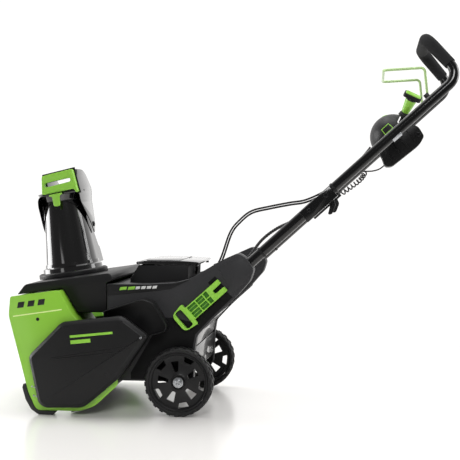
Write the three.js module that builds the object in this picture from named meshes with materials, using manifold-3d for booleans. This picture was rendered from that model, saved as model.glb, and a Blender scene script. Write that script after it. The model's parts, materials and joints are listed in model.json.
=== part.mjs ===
// Cordless single-stage snow blower: a paddle auger in a steel housing, a turning chute,
// a wheeled plastic body with a battery bay, and a folding tubular handle with its controls.
// Millimetres, +Z up, the intake faces -X, the operator stands at +X, +Y is the machine's right.

import * as THREE from 'three';
import { mergeVertices } from 'three/addons/utils/BufferGeometryUtils.js';
import Module from 'manifold-3d';

const wasm = await Module();
wasm.setup();

const DEG = Math.PI / 180;

// Driving dimensions. Lengths in x are laid out from the wheel axle.
const AXLE_TO_BOX_MIDDLE = 150.9;
const CLEARING_WIDTH = 559;
const SHEET = 3;
const WALL = 3;
const GAP = 0.4;
const PLATE_INSIDE = CLEARING_WIDTH / 2 + 4.5;
const PLATE_OUTSIDE = PLATE_INSIDE + SHEET;
const COVER_OUTSIDE = 318;
const AUGER_X = -358;
const AUGER_Z = 128;
const SHELL_RADIUS = 126;
const PADDLE_RADIUS = 110;
const SHAFT_RADIUS = 10;
const WHEEL_RADIUS = 101.5;
const WHEEL_MIDDLE = 259;
const WHEEL_HALF_WIDTH = 22;
const FRAME_OUTSIDE = 235;
const FRAME_INSIDE = 203;
const NOSE_TILT = 8 * DEG;
const CHUTE_X = -383;
const CHUTE_Z = 393;
const THROAT_RADIUS = 80;
const HANDLE_SLOPE = 42 * DEG;
const FOLD_X = 427;
const FOLD_Z = 650;
const HANDLE_HALF_WIDTH = 205;
const TUBE_RADIUS = 15;
const LOWER_TUBE_RADIUS = 16;
const TUBE_WALL = 1.8;
const GRIP_RADIUS = 19;

// ---- Shape helpers ------------------------------------------------------------------

// A closed outline from corner points [a, b] or [a, b, cutBack]; cutBack rounds that corner.
function outline(points, cutBack = 0) {
  const shape = new THREE.Shape();
  const count = points.length;
  points.forEach((point, index) => {
    const corner = new THREE.Vector2(point[0], point[1]);
    const before = new THREE.Vector2(...points[(index + count - 1) % count].slice(0, 2)).sub(corner);
    const after = new THREE.Vector2(...points[(index + 1) % count].slice(0, 2)).sub(corner);
    const reach = Math.min(point[2] ?? cutBack, before.length() * 0.45, after.length() * 0.45);
    const from = corner.clone().add(before.setLength(reach));
    const to = corner.clone().add(after.setLength(reach));
    if (index === 0) shape.moveTo(from.x, from.y);
    else shape.lineTo(from.x, from.y);
    if (reach > 0) shape.quadraticCurveTo(corner.x, corner.y, to.x, to.y);
  });
  shape.closePath();
  return shape;
}

// Points moved to the left of the direction of travel, so inwards on a counter-clockwise outline.
function offset(points, distance, closed = true) {
  const count = points.length;
  return points.map((point, index) => {
    const normals = [];
    const first = closed || index > 0 ? (index + count - 1) % count : -1;
    const last = closed || index < count - 1 ? (index + 1) % count : -1;
    if (first >= 0) normals.push(leftNormal(points[first], point));
    if (last >= 0) normals.push(leftNormal(point, points[last]));
    const sum = normals.reduce((total, normal) => total.add(normal), new THREE.Vector2());
    const along = sum.normalize();
    const mitre = distance / along.dot(normals[0]);
    return [point[0] + along.x * mitre, point[1] + along.y * mitre, point[2] ?? 0];
  });
}

function leftNormal(from, to) {
  return new THREE.Vector2(from[1] - to[1], to[0] - from[0]).normalize();
}

// A sheet of even thickness that follows an open path, laid on the path's left side.
function strip(path, thickness) {
  return outline([...path, ...offset(path, thickness, false).reverse()]);
}

// Points on an arc, angles in degrees.
function arc(x, z, radius, from, to, steps) {
  const points = [];
  for (let step = 0; step <= steps; step += 1) {
    const angle = (from + ((to - from) * step) / steps) * DEG;
    points.push([x + radius * Math.cos(angle), z + radius * Math.sin(angle)]);
  }
  return points;
}

function extrude(shape, depth, settings = {}) {
  return new THREE.ExtrudeGeometry(shape, { depth, bevelEnabled: false, curveSegments: 3, ...settings });
}

// An outline in x and z, drawn out along y between two places.
function prism(shape, yFrom, yTo, curveSegments = 3) {
  const geometry = extrude(shape, Math.abs(yTo - yFrom), { curveSegments });
  geometry.rotateX(Math.PI / 2);
  return geometry.translate(0, Math.max(yFrom, yTo), 0);
}

// An outline in y and z, drawn out along x.
function prismX(shape, xFrom, xTo, curveSegments = 3) {
  const geometry = extrude(shape, Math.abs(xTo - xFrom), { curveSegments });
  const yzx = new THREE.Matrix4().makeBasis(
    new THREE.Vector3(0, 1, 0),
    new THREE.Vector3(0, 0, 1),
    new THREE.Vector3(1, 0, 0),
  );
  return geometry.applyMatrix4(yzx).translate(Math.min(xFrom, xTo), 0, 0);
}

// An outline in x and y, drawn out along z.
function prismZ(shape, zFrom, zTo, curveSegments = 3) {
  return extrude(shape, Math.abs(zTo - zFrom), { curveSegments }).translate(0, 0, Math.min(zFrom, zTo));
}

function box(xFrom, xTo, yFrom, yTo, zFrom, zTo) {
  const geometry = new THREE.BoxGeometry(xTo - xFrom, yTo - yFrom, zTo - zFrom);
  return geometry.translate((xFrom + xTo) / 2, (yFrom + yTo) / 2, (zFrom + zTo) / 2);
}

// A round bar along y.
function bar(x, z, radius, yFrom, yTo, sides = 24) {
  const geometry = new THREE.CylinderGeometry(radius, radius, Math.abs(yTo - yFrom), sides);
  return geometry.translate(x, (yFrom + yTo) / 2, z);
}

// A turned piece about y: points are [radius, y] and close on themselves.
function turned(points, sides = 28) {
  const loop = [...points, points[0]].map(([radius, y]) => new THREE.Vector2(radius, y));
  const geometry = new THREE.LatheGeometry(loop, sides);
  const area = loop.slice(1).reduce((sum, p, i) => sum + loop[i].x * p.y - p.x * loop[i].y, 0);
  return area > 0 ? geometry : reversed(geometry);
}

// The same piece turned about z instead of y.
function turnedUp(points, sides = 28) {
  return turned(points, sides).rotateX(Math.PI / 2);
}

function reversed(geometry) {
  const copy = geometry.index ? geometry.clone() : mergeVertices(geometry);
  const index = copy.index.array;
  for (let first = 0; first < index.length; first += 3) {
    [index[first + 1], index[first + 2]] = [index[first + 2], index[first + 1]];
  }
  copy.computeVertexNormals();
  return copy;
}

// The opposite-hand piece, on the other side of the machine's middle plane.
function mirrored(geometry) {
  return reversed(mergeVertices(geometry.clone().scale(1, -1, 1)));
}

function toSolid(geometry) {
  const bare = geometry.clone();
  bare.deleteAttribute('normal');
  bare.deleteAttribute('uv');
  const merged = mergeVertices(bare, 1e-3);
  const corners = merged.index.array;
  const triangles = [];
  for (let first = 0; first < corners.length; first += 3) {
    const [a, b, c] = [corners[first], corners[first + 1], corners[first + 2]];
    if (a !== b && b !== c && a !== c) triangles.push(a, b, c);
  }
  const mesh = new wasm.Mesh({
    numProp: 3,
    vertProperties: new Float32Array(merged.attributes.position.array),
    triVerts: new Uint32Array(triangles),
  });
  return new wasm.Manifold(mesh);
}

function toGeometry(solid) {
  const mesh = solid.getMesh();
  const geometry = new THREE.BufferGeometry();
  geometry.setAttribute('position', new THREE.BufferAttribute(mesh.vertProperties, 3));
  geometry.setIndex(new THREE.BufferAttribute(mesh.triVerts, 1));
  geometry.computeVertexNormals();
  return geometry;
}

function join(first, ...others) {
  return toGeometry(others.reduce((sum, other) => sum.add(toSolid(other)), toSolid(first)));
}

function cut(first, ...tools) {
  return toGeometry(tools.reduce((rest, tool) => rest.subtract(toSolid(tool)), toSolid(first)));
}

function common(first, second) {
  return toGeometry(toSolid(first).intersect(toSolid(second)));
}

// A shallow dish: an outline with side walls, closed at yBack and open at yFront.
function dish(points, yFront, yBack, wall, cutBack = 0) {
  const inwards = Math.sign(yBack - yFront);
  return cut(
    prism(outline(points, cutBack), yFront, yBack),
    prism(outline(offset(points, wall), cutBack), yFront - inwards, yBack - inwards * wall),
  );
}

// A line of stations: straight runs between corner points, each inner corner rounded to a radius.
function route(corners, radii, stepsPerBend = 5) {
  const points = corners.map((corner) => new THREE.Vector3(...corner));
  const stations = [points[0]];
  for (let index = 1; index < points.length - 1; index += 1) {
    const back = points[index - 1].clone().sub(points[index]).normalize();
    const on = points[index + 1].clone().sub(points[index]).normalize();
    const halfAngle = Math.acos(back.dot(on)) / 2;
    const reach = radii[index - 1] / Math.tan(halfAngle);
    const middle = back.clone().add(on).setLength(radii[index - 1] / Math.sin(halfAngle)).add(points[index]);
    const start = points[index].clone().addScaledVector(back, reach).sub(middle);
    const end = points[index].clone().addScaledVector(on, reach).sub(middle);
    const axis = start.clone().cross(end).normalize();
    for (let step = 0; step <= stepsPerBend; step += 1) {
      const angle = ((Math.PI - 2 * halfAngle) * step) / stepsPerBend;
      stations.push(start.clone().applyAxisAngle(axis, angle).add(middle));
    }
  }
  stations.push(points.at(-1));
  return stations;
}

// A smooth line through free points, at an even number of stations.
function smoothRoute(corners, steps) {
  const curve = new THREE.CatmullRomCurve3(corners.map((corner) => new THREE.Vector3(...corner)));
  return curve.getSpacedPoints(steps);
}

// A path whose sections stand exactly at its stations.
class StationPath extends THREE.Curve {
  constructor(stations) {
    super();
    this.stations = stations;
  }

  getPoint(t) {
    const place = t * (this.stations.length - 1);
    const index = Math.min(Math.floor(place), this.stations.length - 2);
    return this.stations[index].clone().lerp(this.stations[index + 1], place - index);
  }

  getPointAt(t) {
    return this.getPoint(t);
  }

  getTangentAt(t) {
    const index = Math.round(t * (this.stations.length - 1));
    const tangent = new THREE.Vector3();
    const here = this.stations[index];
    if (index > 0) tangent.add(here.clone().sub(this.stations[index - 1]).normalize());
    if (index < this.stations.length - 1) {
      tangent.add(this.stations[index + 1].clone().sub(here).normalize());
    }
    return tangent.normalize();
  }
}

function ring(radius, sides, inner = 0) {
  const shape = new THREE.Shape(arc(0, 0, radius, 0, 360 - 360 / sides, sides - 1).map(([a, b]) =>
    new THREE.Vector2(a, b)));
  if (inner > 0) {
    shape.holes.push(new THREE.Path(arc(0, 0, inner, 0, 360 - 360 / sides, sides - 1).map(([a, b]) =>
      new THREE.Vector2(a, b))));
  }
  return shape;
}

function tube(stations, radius, sides = 12, inner = 0, section = ring(radius, sides, inner)) {
  return new THREE.ExtrudeGeometry(section, {
    extrudePath: new StationPath(stations),
    steps: stations.length - 1,
    bevelEnabled: false,
  });
}

// A paddle flight: a flat blade along y whose angle changes evenly from one end to the other.
function flight(yFrom, yTo, inner, outer, thickness, angleFrom, angleTo) {
  const blade = new THREE.BoxGeometry(outer - inner, yTo - yFrom, thickness, 1, 9, 1);
  blade.translate((inner + outer) / 2, (yFrom + yTo) / 2, 0);
  const place = blade.attributes.position;
  const point = new THREE.Vector3();
  for (let index = 0; index < place.count; index += 1) {
    point.fromBufferAttribute(place, index);
    const share = (point.y - yFrom) / (yTo - yFrom);
    point.applyAxisAngle(new THREE.Vector3(0, 1, 0), (angleFrom + (angleTo - angleFrom) * share) * DEG);
    place.setXYZ(index, point.x, point.y, point.z);
  }
  return blade;
}

// ---- Finishes -----------------------------------------------------------------------

const finish = {
  greenPaint: { color: 0x93d63f, roughness: 0.32, metalness: 0 },
  greenPlastic: { color: 0x9fd957, roughness: 0.45, metalness: 0 },
  satinBlack: { color: 0x232325, roughness: 0.5, metalness: 0 },
  glossBlack: { color: 0x121213, roughness: 0.18, metalness: 0 },
  greyPlastic: { color: 0x343436, roughness: 0.55, metalness: 0 },
  blackPaint: { color: 0x161617, roughness: 0.3, metalness: 0.2 },
  rubber: { color: 0x1b1b1b, roughness: 0.85, metalness: 0 },
  foam: { color: 0x262626, roughness: 0.95, metalness: 0 },
  steel: { color: 0xb8b8ba, roughness: 0.35, metalness: 0.9 },
};

function piece(name, geometry, look) {
  const mesh = new THREE.Mesh(geometry, new THREE.MeshStandardMaterial(finish[look]));
  mesh.name = name;
  return mesh;
}

const machine = new THREE.Group();
machine.position.x = -AXLE_TO_BOX_MIDDLE;

// ---- Auger housing --------------------------------------------------------------------

// Outside of the rolled steel housing, from the scraper up the back and forward to the brow.
const shellPath = [
  ...arc(AUGER_X, AUGER_Z, SHELL_RADIUS + SHEET, -52, 54, 14),
  [-315, 291],
  [-358, 366],
  [-500, 346],
];
const shellEnds = PLATE_INSIDE - GAP;
const throatTilt = (geometry) => geometry.rotateY(-NOSE_TILT).translate(CHUTE_X, 0, CHUTE_Z);
const throatHole = [[0, -170], [THROAT_RADIUS + 5, -170], [THROAT_RADIUS + 5, 60], [0, 60]];
const throatCut = throatTilt(turnedUp(throatHole, 24));
const bentSheet = prism(strip(shellPath, SHEET), -shellEnds, shellEnds);
machine.add(piece('auger_shell', cut(bentSheet, throatCut), 'greenPaint'));

const plateOutline = [
  [-449, 65, 6],
  [-425, 13, 14],
  [-290, 12, 20],
  [-246, 30, 10],
  [-175, 95, 12],
  [-215, 205, 10],
  [-312, 294, 8],
  [-356, 370, 8],
  [-503, 349, 6],
  [-508, 293, 10],
];
const shaftHole = bar(AUGER_X, AUGER_Z, SHAFT_RADIUS + 2, -340, 340);
const leftPlate = cut(prism(outline(plateOutline), -PLATE_OUTSIDE, -PLATE_INSIDE), shaftHole);
machine.add(piece('side_plate_left', leftPlate, 'greenPaint'));
machine.add(piece('side_plate_right', mirrored(leftPlate), 'greenPaint'));

// Skid shoes: plastic corners that hook round the plates' lower front edges.
const skidOutline = [
  [-440, 15, 6],
  [-418, 0, 6],
  [-374, 0],
  [-365, 8],
  [-366, 26],
  [-400, 32],
  [-424, 60],
  [-438, 92],
  [-464, 90],
  [-467, 80],
  [-457, 44],
];
const SKID_INSIDE = 270;
const leftSkid = cut(
  prism(outline(skidOutline), -PLATE_OUTSIDE - 1.5, -SKID_INSIDE),
  prism(outline(offset(plateOutline, -GAP)), -PLATE_INSIDE + GAP, -COVER_OUTSIDE),
);
machine.add(piece('skid_shoe_left', leftSkid, 'satinBlack'));
machine.add(piece('skid_shoe_right', mirrored(leftSkid), 'satinBlack'));

// Scraper bar: lies under the housing's rolled edge, its lip just above the ground.
const scraperOutline = outline([
  [-327, 3],
  ...arc(AUGER_X, AUGER_Z, SHELL_RADIUS + SHEET + 5.5, -58, -34, 5),
  ...arc(AUGER_X, AUGER_Z, SHELL_RADIUS + SHEET + GAP + 0.3, -34, -56, 5),
  [-324, 8],
]);
machine.add(piece('scraper_bar', prism(scraperOutline, -262, 262), 'satinBlack'));

// ---- Auger ----------------------------------------------------------------------------

const auger = new THREE.Group();
auger.position.set(AUGER_X, 0, AUGER_Z);
machine.add(auger);
auger.add(piece('auger_shaft', bar(0, 0, SHAFT_RADIUS, -309, 298), 'steel'));

const bearing = turned([[10.3, -283.6], [26, -283.6], [26, -278], [18, -274], [10.3, -274]], 20);
auger.add(piece('auger_bearing_left', bearing, 'steel'));
auger.add(piece('auger_bearing_right', mirrored(bearing), 'steel'));

const PADDLE_THICKNESS = 9;
const HUB_RADIUS = 24;
const SCOOP_HALF_WIDTH = 62;
function paddle(yFrom, yTo, angleFrom, angleTo) {
  const bore = SHAFT_RADIUS + GAP;
  const hub = turned([[bore, yFrom], [HUB_RADIUS, yFrom], [HUB_RADIUS, yTo], [bore, yTo]], 20);
  const blades = [0, 180].map((turn) =>
    flight(yFrom, yTo, HUB_RADIUS - 5, PADDLE_RADIUS, PADDLE_THICKNESS, angleFrom + turn, angleTo + turn));
  return join(hub, ...blades);
}
const PADDLE_END = 266;
const FLIGHT_TWIST = 100;
auger.add(piece('paddle_left', paddle(-PADDLE_END, -SCOOP_HALF_WIDTH - 2, FLIGHT_TWIST, 0), 'rubber'));
auger.add(piece('paddle_centre', paddle(-SCOOP_HALF_WIDTH, SCOOP_HALF_WIDTH, 0, 0), 'rubber'));
auger.add(piece('paddle_right', paddle(SCOOP_HALF_WIDTH + 2, PADDLE_END, 0, FLIGHT_TWIST), 'rubber'));

// ---- Belt drive -----------------------------------------------------------------------

const MOTOR_X = -140;
const MOTOR_Z = 240;
const BELT_Y = -300;
const BELT_HALF_WIDTH = 5.7;
const BELT_THICKNESS = 4;
const AUGER_PULLEY_RADIUS = 52;
const MOTOR_PULLEY_RADIUS = 20;
const IDLER_RADIUS = 16;

function pulley(radius, bore) {
  const lip = radius + 6;
  return turned([
    [bore, -8], [lip, -8], [lip, -6.3], [radius, -6.3], [radius, 6.3], [lip, 6.3], [lip, 8], [bore, 8],
  ], 24);
}

const augerPulley = pulley(AUGER_PULLEY_RADIUS, SHAFT_RADIUS + GAP).translate(0, BELT_Y, 0);
auger.add(piece('auger_pulley', augerPulley, 'steel'));

const motorPulley = join(
  pulley(MOTOR_PULLEY_RADIUS, 5).translate(0, BELT_Y, 0),
  bar(0, 0, 6, BELT_Y - 4, -192, 16),
);
const motor = new THREE.Group();
motor.position.set(MOTOR_X, 0, MOTOR_Z);
machine.add(motor);
motor.add(piece('motor_pulley', motorPulley, 'steel'));
const motorBody = cut(
  turned([[0, -201], [46, -201], [46, -110], [38, -96], [0, -96]], 28),
  bar(0, 0, 6.5, -205, -188, 16),
);
motor.add(piece('drive_motor', motorBody, 'steel'));

// The belt wraps two pulleys: tangent points lie at the same angle on both.
const beltDirection = Math.atan2(AUGER_Z - MOTOR_Z, AUGER_X - MOTOR_X);
const beltSpan = Math.hypot(AUGER_X - MOTOR_X, AUGER_Z - MOTOR_Z);
const wrap = Math.acos((MOTOR_PULLEY_RADIUS - AUGER_PULLEY_RADIUS) / beltSpan);
function beltLoop(out, Kind) {
  const loop = new Kind();
  const from = beltDirection - wrap;
  const to = beltDirection + wrap;
  loop.absarc(AUGER_X, AUGER_Z, AUGER_PULLEY_RADIUS + out, from, to, false);
  loop.absarc(MOTOR_X, MOTOR_Z, MOTOR_PULLEY_RADIUS + out, to, from + 2 * Math.PI, false);
  return loop;
}
const beltSection = beltLoop(GAP + 0.3 + BELT_THICKNESS, THREE.Shape);
beltSection.holes.push(beltLoop(GAP + 0.3, THREE.Path));
const belt = prism(beltSection, BELT_Y - BELT_HALF_WIDTH, BELT_Y + BELT_HALF_WIDTH, 14);
machine.add(piece('drive_belt', belt, 'rubber'));

// The idler presses on the belt's lower run from outside.
const runNormal = beltDirection + wrap;
const runMiddle = beltSpan * 0.42;
const idlerOut = MOTOR_PULLEY_RADIUS + BELT_THICKNESS + IDLER_RADIUS + 2.2 * GAP;
const idler = new THREE.Group();
idler.position.set(
  MOTOR_X + Math.cos(runNormal) * idlerOut + Math.cos(runNormal - Math.PI / 2) * runMiddle,
  BELT_Y,
  MOTOR_Z + Math.sin(runNormal) * idlerOut + Math.sin(runNormal - Math.PI / 2) * runMiddle,
);
machine.add(idler);
const idlerWheel = turned([[0, -6], [IDLER_RADIUS, -6], [IDLER_RADIUS, 6], [0, 6]], 24);
idler.add(piece('idler_pulley', idlerWheel, 'steel'));

// Belt cover: a deep plastic shell with a chamfered face, screwed over the left plate.
const coverOutline = [
  [-413, 38, 14],
  [-394, 24, 12],
  [-280, 26, 14],
  [-250, 48, 12],
  [-172, 114, 16],
  [-83, 241, 14],
  [-160, 298, 14],
  [-342, 277, 10],
  [-442, 176, 14],
];
const COVER_CHAMFER = 11;
const COVER_BACK = PLATE_OUTSIDE + GAP;
function coverBlock(points, depthFrom, depthTo, chamfer) {
  const geometry = extrude(outline(points), depthTo - depthFrom - chamfer + 30, {
    bevelEnabled: true, bevelThickness: chamfer, bevelSize: chamfer, bevelOffset: -chamfer, bevelSegments: 1,
  });
  geometry.rotateX(Math.PI / 2).translate(0, -depthFrom + 30, 0);
  return cut(geometry, box(-600, 100, -depthFrom, -depthFrom + 80, -50, 450));
}
function coverShell(points) {
  return cut(
    coverBlock(points, COVER_BACK, COVER_OUTSIDE, COVER_CHAMFER),
    coverBlock(offset(points, WALL), COVER_BACK - 1, COVER_OUTSIDE - WALL, COVER_CHAMFER - 2),
  );
}
machine.add(piece('belt_cover', coverShell(coverOutline), 'satinBlack'));

const bearingCoverOutline = [
  [-413, 38, 14],
  [-394, 24, 12],
  [-280, 26, 14],
  [-250, 48, 12],
  [-200, 100, 14],
  [-215, 165, 14],
  [-270, 232, 14],
  [-386, 232, 14],
  [-442, 176, 14],
];
machine.add(piece('bearing_cover', mirrored(coverShell(bearingCoverOutline)), 'satinBlack'));

// Belt housing: the dish behind the cover that carries the belt run back to the motor.
const housingOutline = [
  [-222, 122, 6],
  [-165, 122, 10],
  [-88, 236, 10],
  [-39, 250, 8],
  [-33, 268, 10],
  [-74, 334, 10],
  [-106, 345, 12],
  [-222, 309, 8],
];
const motorShaftHole = bar(MOTOR_X, MOTOR_Z, 9, -250, -190, 16);
const housing = cut(dish(housingOutline, -PLATE_INSIDE + GAP, -FRAME_OUTSIDE - 1, WALL), motorShaftHole);
machine.add(piece('belt_housing', housing, 'satinBlack'));

// ---- Upper shroud and chute seat --------------------------------------------------------

const SHROUD_HALF_WIDTH = 230;
const shroudOutline = [
  [-224, 300],
  [-224, 388],
  [-205, 396, 4],
  [-213, 418, 10],
  [-475, 381, 8],
  [-499, 350],
  [-359, 370],
  [-313, 299],
];
const shroudInside = SHROUD_HALF_WIDTH - WALL;
const shroudHollow = prism(outline(offset(shroudOutline, WALL)), -shroudInside, shroudInside);
const shroud = cut(
  prism(outline(shroudOutline), -SHROUD_HALF_WIDTH, SHROUD_HALF_WIDTH),
  shroudHollow,
  shroudHollow.clone().translate(0, 0, -8),
  throatCut,
);
machine.add(piece('upper_shroud', shroud, 'satinBlack'));

const chuteFrame = new THREE.Group();
chuteFrame.position.set(CHUTE_X, 0, CHUTE_Z);
chuteFrame.rotation.y = -NOSE_TILT;
machine.add(chuteFrame);
const seat = turnedUp([
  [THROAT_RADIUS, -44], [THROAT_RADIUS + 3, -44], [THROAT_RADIUS + 3, 1.5], [109, 1.5], [109, 14],
  [104, 18], [104, 6], [THROAT_RADIUS, 6],
]);
chuteFrame.add(piece('chute_seat_ring', seat, 'satinBlack'));

// ---- Chute ----------------------------------------------------------------------------

// In the chute's own frame z is its axis and the snow leaves towards +y.
const CHUTE_BASE_RADIUS = 86;
const CHUTE_HEIGHT = 242;
const CHUTE_TAPER = 0.29;
const CHUTE_FOOT = 6.6;

function chuteSection(radius, front) {
  const back = arc(0, 0, radius, 180, 360, 10);
  return [...back, [radius, front], [-radius, front]];
}

// A straight-sided trough drawn up along z, narrowing evenly with height.
function taperedTrough(points, zFrom, zTo) {
  const geometry = prismZ(outline(points), zFrom, zTo);
  const place = geometry.attributes.position;
  for (let index = 0; index < place.count; index += 1) {
    const scale = 1 - (CHUTE_TAPER * place.getZ(index)) / CHUTE_HEIGHT;
    place.setXY(index, place.getX(index) * scale, place.getY(index) * scale);
  }
  return geometry;
}
const chuteTube = turnedUp([
  [CHUTE_BASE_RADIUS - WALL, CHUTE_FOOT], [102.5, CHUTE_FOOT], [102.5, 10], [96, 12], [94, 30],
  [CHUTE_BASE_RADIUS, 34], [CHUTE_BASE_RADIUS - 1, 44], [CHUTE_BASE_RADIUS - 1 - WALL, 44],
]);
const troughSlope = prismX(outline([[20, 260], [40, 150], [64, 84], [130, 60], [130, 260]]), -120, 120);
const trough = cut(
  taperedTrough(chuteSection(CHUTE_BASE_RADIUS, 84), 32, CHUTE_HEIGHT),
  taperedTrough(chuteSection(CHUTE_BASE_RADIUS - WALL, 84 - WALL), 28, CHUTE_HEIGHT + 4),
  troughSlope,
);
const boreRadius = CHUTE_BASE_RADIUS - WALL - 1;
const chuteBore = turnedUp([[0, 0], [boreRadius, 0], [boreRadius, 45], [0, 45]]);
const lowerChute = cut(join(chuteTube, trough), chuteBore);
chuteFrame.add(piece('chute_lower', lowerChute, 'glossBlack'));

// The deflector hood pivots on the trough's sides and bends over at the top.
const HOOD_HALF_WIDTH = 79;
const hoodSide = [
  [30, 126, 6],
  [44, 132, 8],
  [58, 160, 10],
  [96, 232, 20],
  [92, 276, 14],
  [40, 318, 14],
  [8, 330, 8],
  [-64, 334, 8],
  [-79, 300, 8],
  [-79, 262, 4],
  [-51, 226, 10],
];
const hoodInside = [
  [-140, 60],
  [104, 60],
  [104, 300],
  [40, 314],
  [6, 326],
  [-61, 330],
  [-76, 298],
  [-76, 246],
];
const hoodFront = [
  [-HOOD_HALF_WIDTH, 100],
  [HOOD_HALF_WIDTH, 100],
  [HOOD_HALF_WIDTH, 162, 8],
  [70, 232, 8],
  [74, 262, 6],
  [74, 332, 4],
  [64, 332, 4],
  [60, 284, 6],
  [-22, 284, 6],
  [-25, 318, 4],
  [-35, 318, 4],
  [-36, 270, 6],
  [-63, 254, 8],
  [-70, 232, 8],
  [-HOOD_HALF_WIDTH, 162, 8],
];
const hoodFrontShape = outline(hoodFront);
const hoodCore = outline(offset(hoodFront, WALL).map(([x, z, r]) => [x, z < 120 ? 60 : z, r]));
const hoodBlock = common(prismX(outline(hoodSide), -90, 90), prism(hoodFrontShape, -120, 120));
const hoodHollow = common(prismX(outline(hoodInside), -90, 90), prism(hoodCore, -150, 150));
chuteFrame.add(piece('chute_deflector', cut(hoodBlock, hoodHollow), 'glossBlack'));

// Grip frame of the deflector with its finger slot.
const gripFrame = outline([
  [-38, 264, 4], [64, 270], [71, 258, 2], [78, 260, 3], [75, 271], [68, 332, 6], [-31, 322, 6],
]);
gripFrame.holes.push(outline([[-26, 285], [58, 294], [58, 306], [-26, 299]], 5));
const deflectorHandle = cut(
  prism(gripFrame, -104, -80.6),
  prism(outline([[-32, 269], [66, 275], [64, 289], [-30, 280]]), -98, -70),
  prism(outline([[-26, 304], [64, 311], [63, 326], [-26, 317]]), -98, -70),
);
chuteFrame.add(piece('deflector_handle', deflectorHandle, 'greenPlastic'));
const triggerOutline = outline([
  [-3, 223, 6], [17, 223, 6], [19, 254], [27, 259], [27, 263], [-14, 261], [-14, 257], [-5, 253],
]);
const TRIGGER_BACK = -104.6;
const triggerPlate = prism(triggerOutline, TRIGGER_BACK - 7, TRIGGER_BACK);
chuteFrame.add(piece('deflector_trigger', triggerPlate, 'greenPlastic'));

// ---- Body -----------------------------------------------------------------------------

const frameOutline = [
  [-222, 97],
  [-45, 97, 8],
  [-26, 78, 10],
  [26, 78, 10],
  [38, 97, 8],
  [43, 198, 8],
  [49, 234, 8],
  [94, 282, 10],
  [165, 350, 12],
  [207, 398, 8],
  [218, 433, 10],
  [195, 465, 12],
  [171, 480, 12],
  [124, 459, 16],
  [29, 403, 14],
  [-14, 391, 12],
  [-90, 386, 10],
  [-222, 385],
];
const armOutline = [
  [97, 289],
  [165, 350, 12],
  [207, 398, 8],
  [218, 433, 10],
  [195, 465, 12],
  [171, 480, 12],
  [124, 459, 16],
  [97, 443],
];
const ARM_INSIDE = 176;
const along = new THREE.Vector3(Math.cos(HANDLE_SLOPE), 0, Math.sin(HANDLE_SLOPE));
const upright = new THREE.Vector3(-Math.sin(HANDLE_SLOPE), 0, Math.cos(HANDLE_SLOPE));
// A place beside the fold: run along the tube, out to the side, rise above the tube.
function onHandle(run, side, rise = 0) {
  const point = new THREE.Vector3(FOLD_X, side, FOLD_Z);
  return point.addScaledVector(along, run).addScaledVector(upright, rise).toArray();
}
const SOCKET_BOTTOM = -398;
const TUBE_BOTTOM = -396;
const TUBE_TOP = -36;
const socket = tube(
  [new THREE.Vector3(...onHandle(SOCKET_BOTTOM, -HANDLE_HALF_WIDTH)),
    new THREE.Vector3(...onHandle(-250, -HANDLE_HALF_WIDTH))],
  LOWER_TUBE_RADIUS + GAP, 20,
);
const axleHole = bar(0, WHEEL_RADIUS, 6.5, -250, 250, 16);
const leftFrame = cut(
  join(
    dish(frameOutline, -FRAME_INSIDE, -FRAME_OUTSIDE, WALL),
    prism(outline(armOutline), -FRAME_OUTSIDE, -ARM_INSIDE),
  ),
  socket,
  axleHole,
  motorShaftHole,
);
machine.add(piece('side_frame_left', leftFrame, 'greyPlastic'));
const rightFrame = mirrored(cut(
  join(
    dish(frameOutline, -FRAME_INSIDE, -FRAME_OUTSIDE, WALL),
    prism(outline(armOutline), -FRAME_OUTSIDE, -ARM_INSIDE),
  ),
  socket,
  axleHole,
));
machine.add(piece('side_frame_right', rightFrame, 'greyPlastic'));

const BODY_HALF_WIDTH = 202;
const tubPath = [[-219, 380], [-219, 100], [-45, 100], [-28, 113], [28, 113], [38, 122], [40, 196]];
machine.add(piece('body_tub', prism(strip(tubPath, WALL), -BODY_HALF_WIDTH, BODY_HALF_WIDTH), 'satinBlack'));
const rearPath = [[41, 200], [47, 236], [91, 283]];
const rearSheet = prism(strip(rearPath, WALL), -BODY_HALF_WIDTH, BODY_HALF_WIDTH);
machine.add(piece('rear_cover', rearSheet, 'satinBlack'));

const BAY_HALF_WIDTH = 128;
const deckPath = [[91, 287], [60, 345], [22, 398], [-14, 389], [-92, 384], [-219, 383.5]];
const deck = cut(
  prism(strip(deckPath, WALL), -BODY_HALF_WIDTH, BODY_HALF_WIDTH),
  box(-176, 10, -BAY_HALF_WIDTH - 1, BAY_HALF_WIDTH + 1, 350, 420),
);
machine.add(piece('top_deck', deck, 'satinBlack'));

const bayOutline = [[-170, 300], [0, 300], [8, 436], [-146, 436], [-174, 394]];
const bayHollow = offset(bayOutline, WALL).map(([x, z]) => [x, z > 420 ? 450 : z]);
const bay = cut(
  prism(outline(bayOutline), -BAY_HALF_WIDTH, BAY_HALF_WIDTH),
  prism(outline(bayHollow), -BAY_HALF_WIDTH + WALL, BAY_HALF_WIDTH - WALL),
);
machine.add(piece('battery_bay', bay, 'satinBlack'));
const packOutline = outline([[-150, 304], [-12, 304], [-8, 424], [-138, 424], [-150, 396]], 6);
machine.add(piece('battery_pack', prism(packOutline, -96, 96), 'greyPlastic'));

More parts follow.
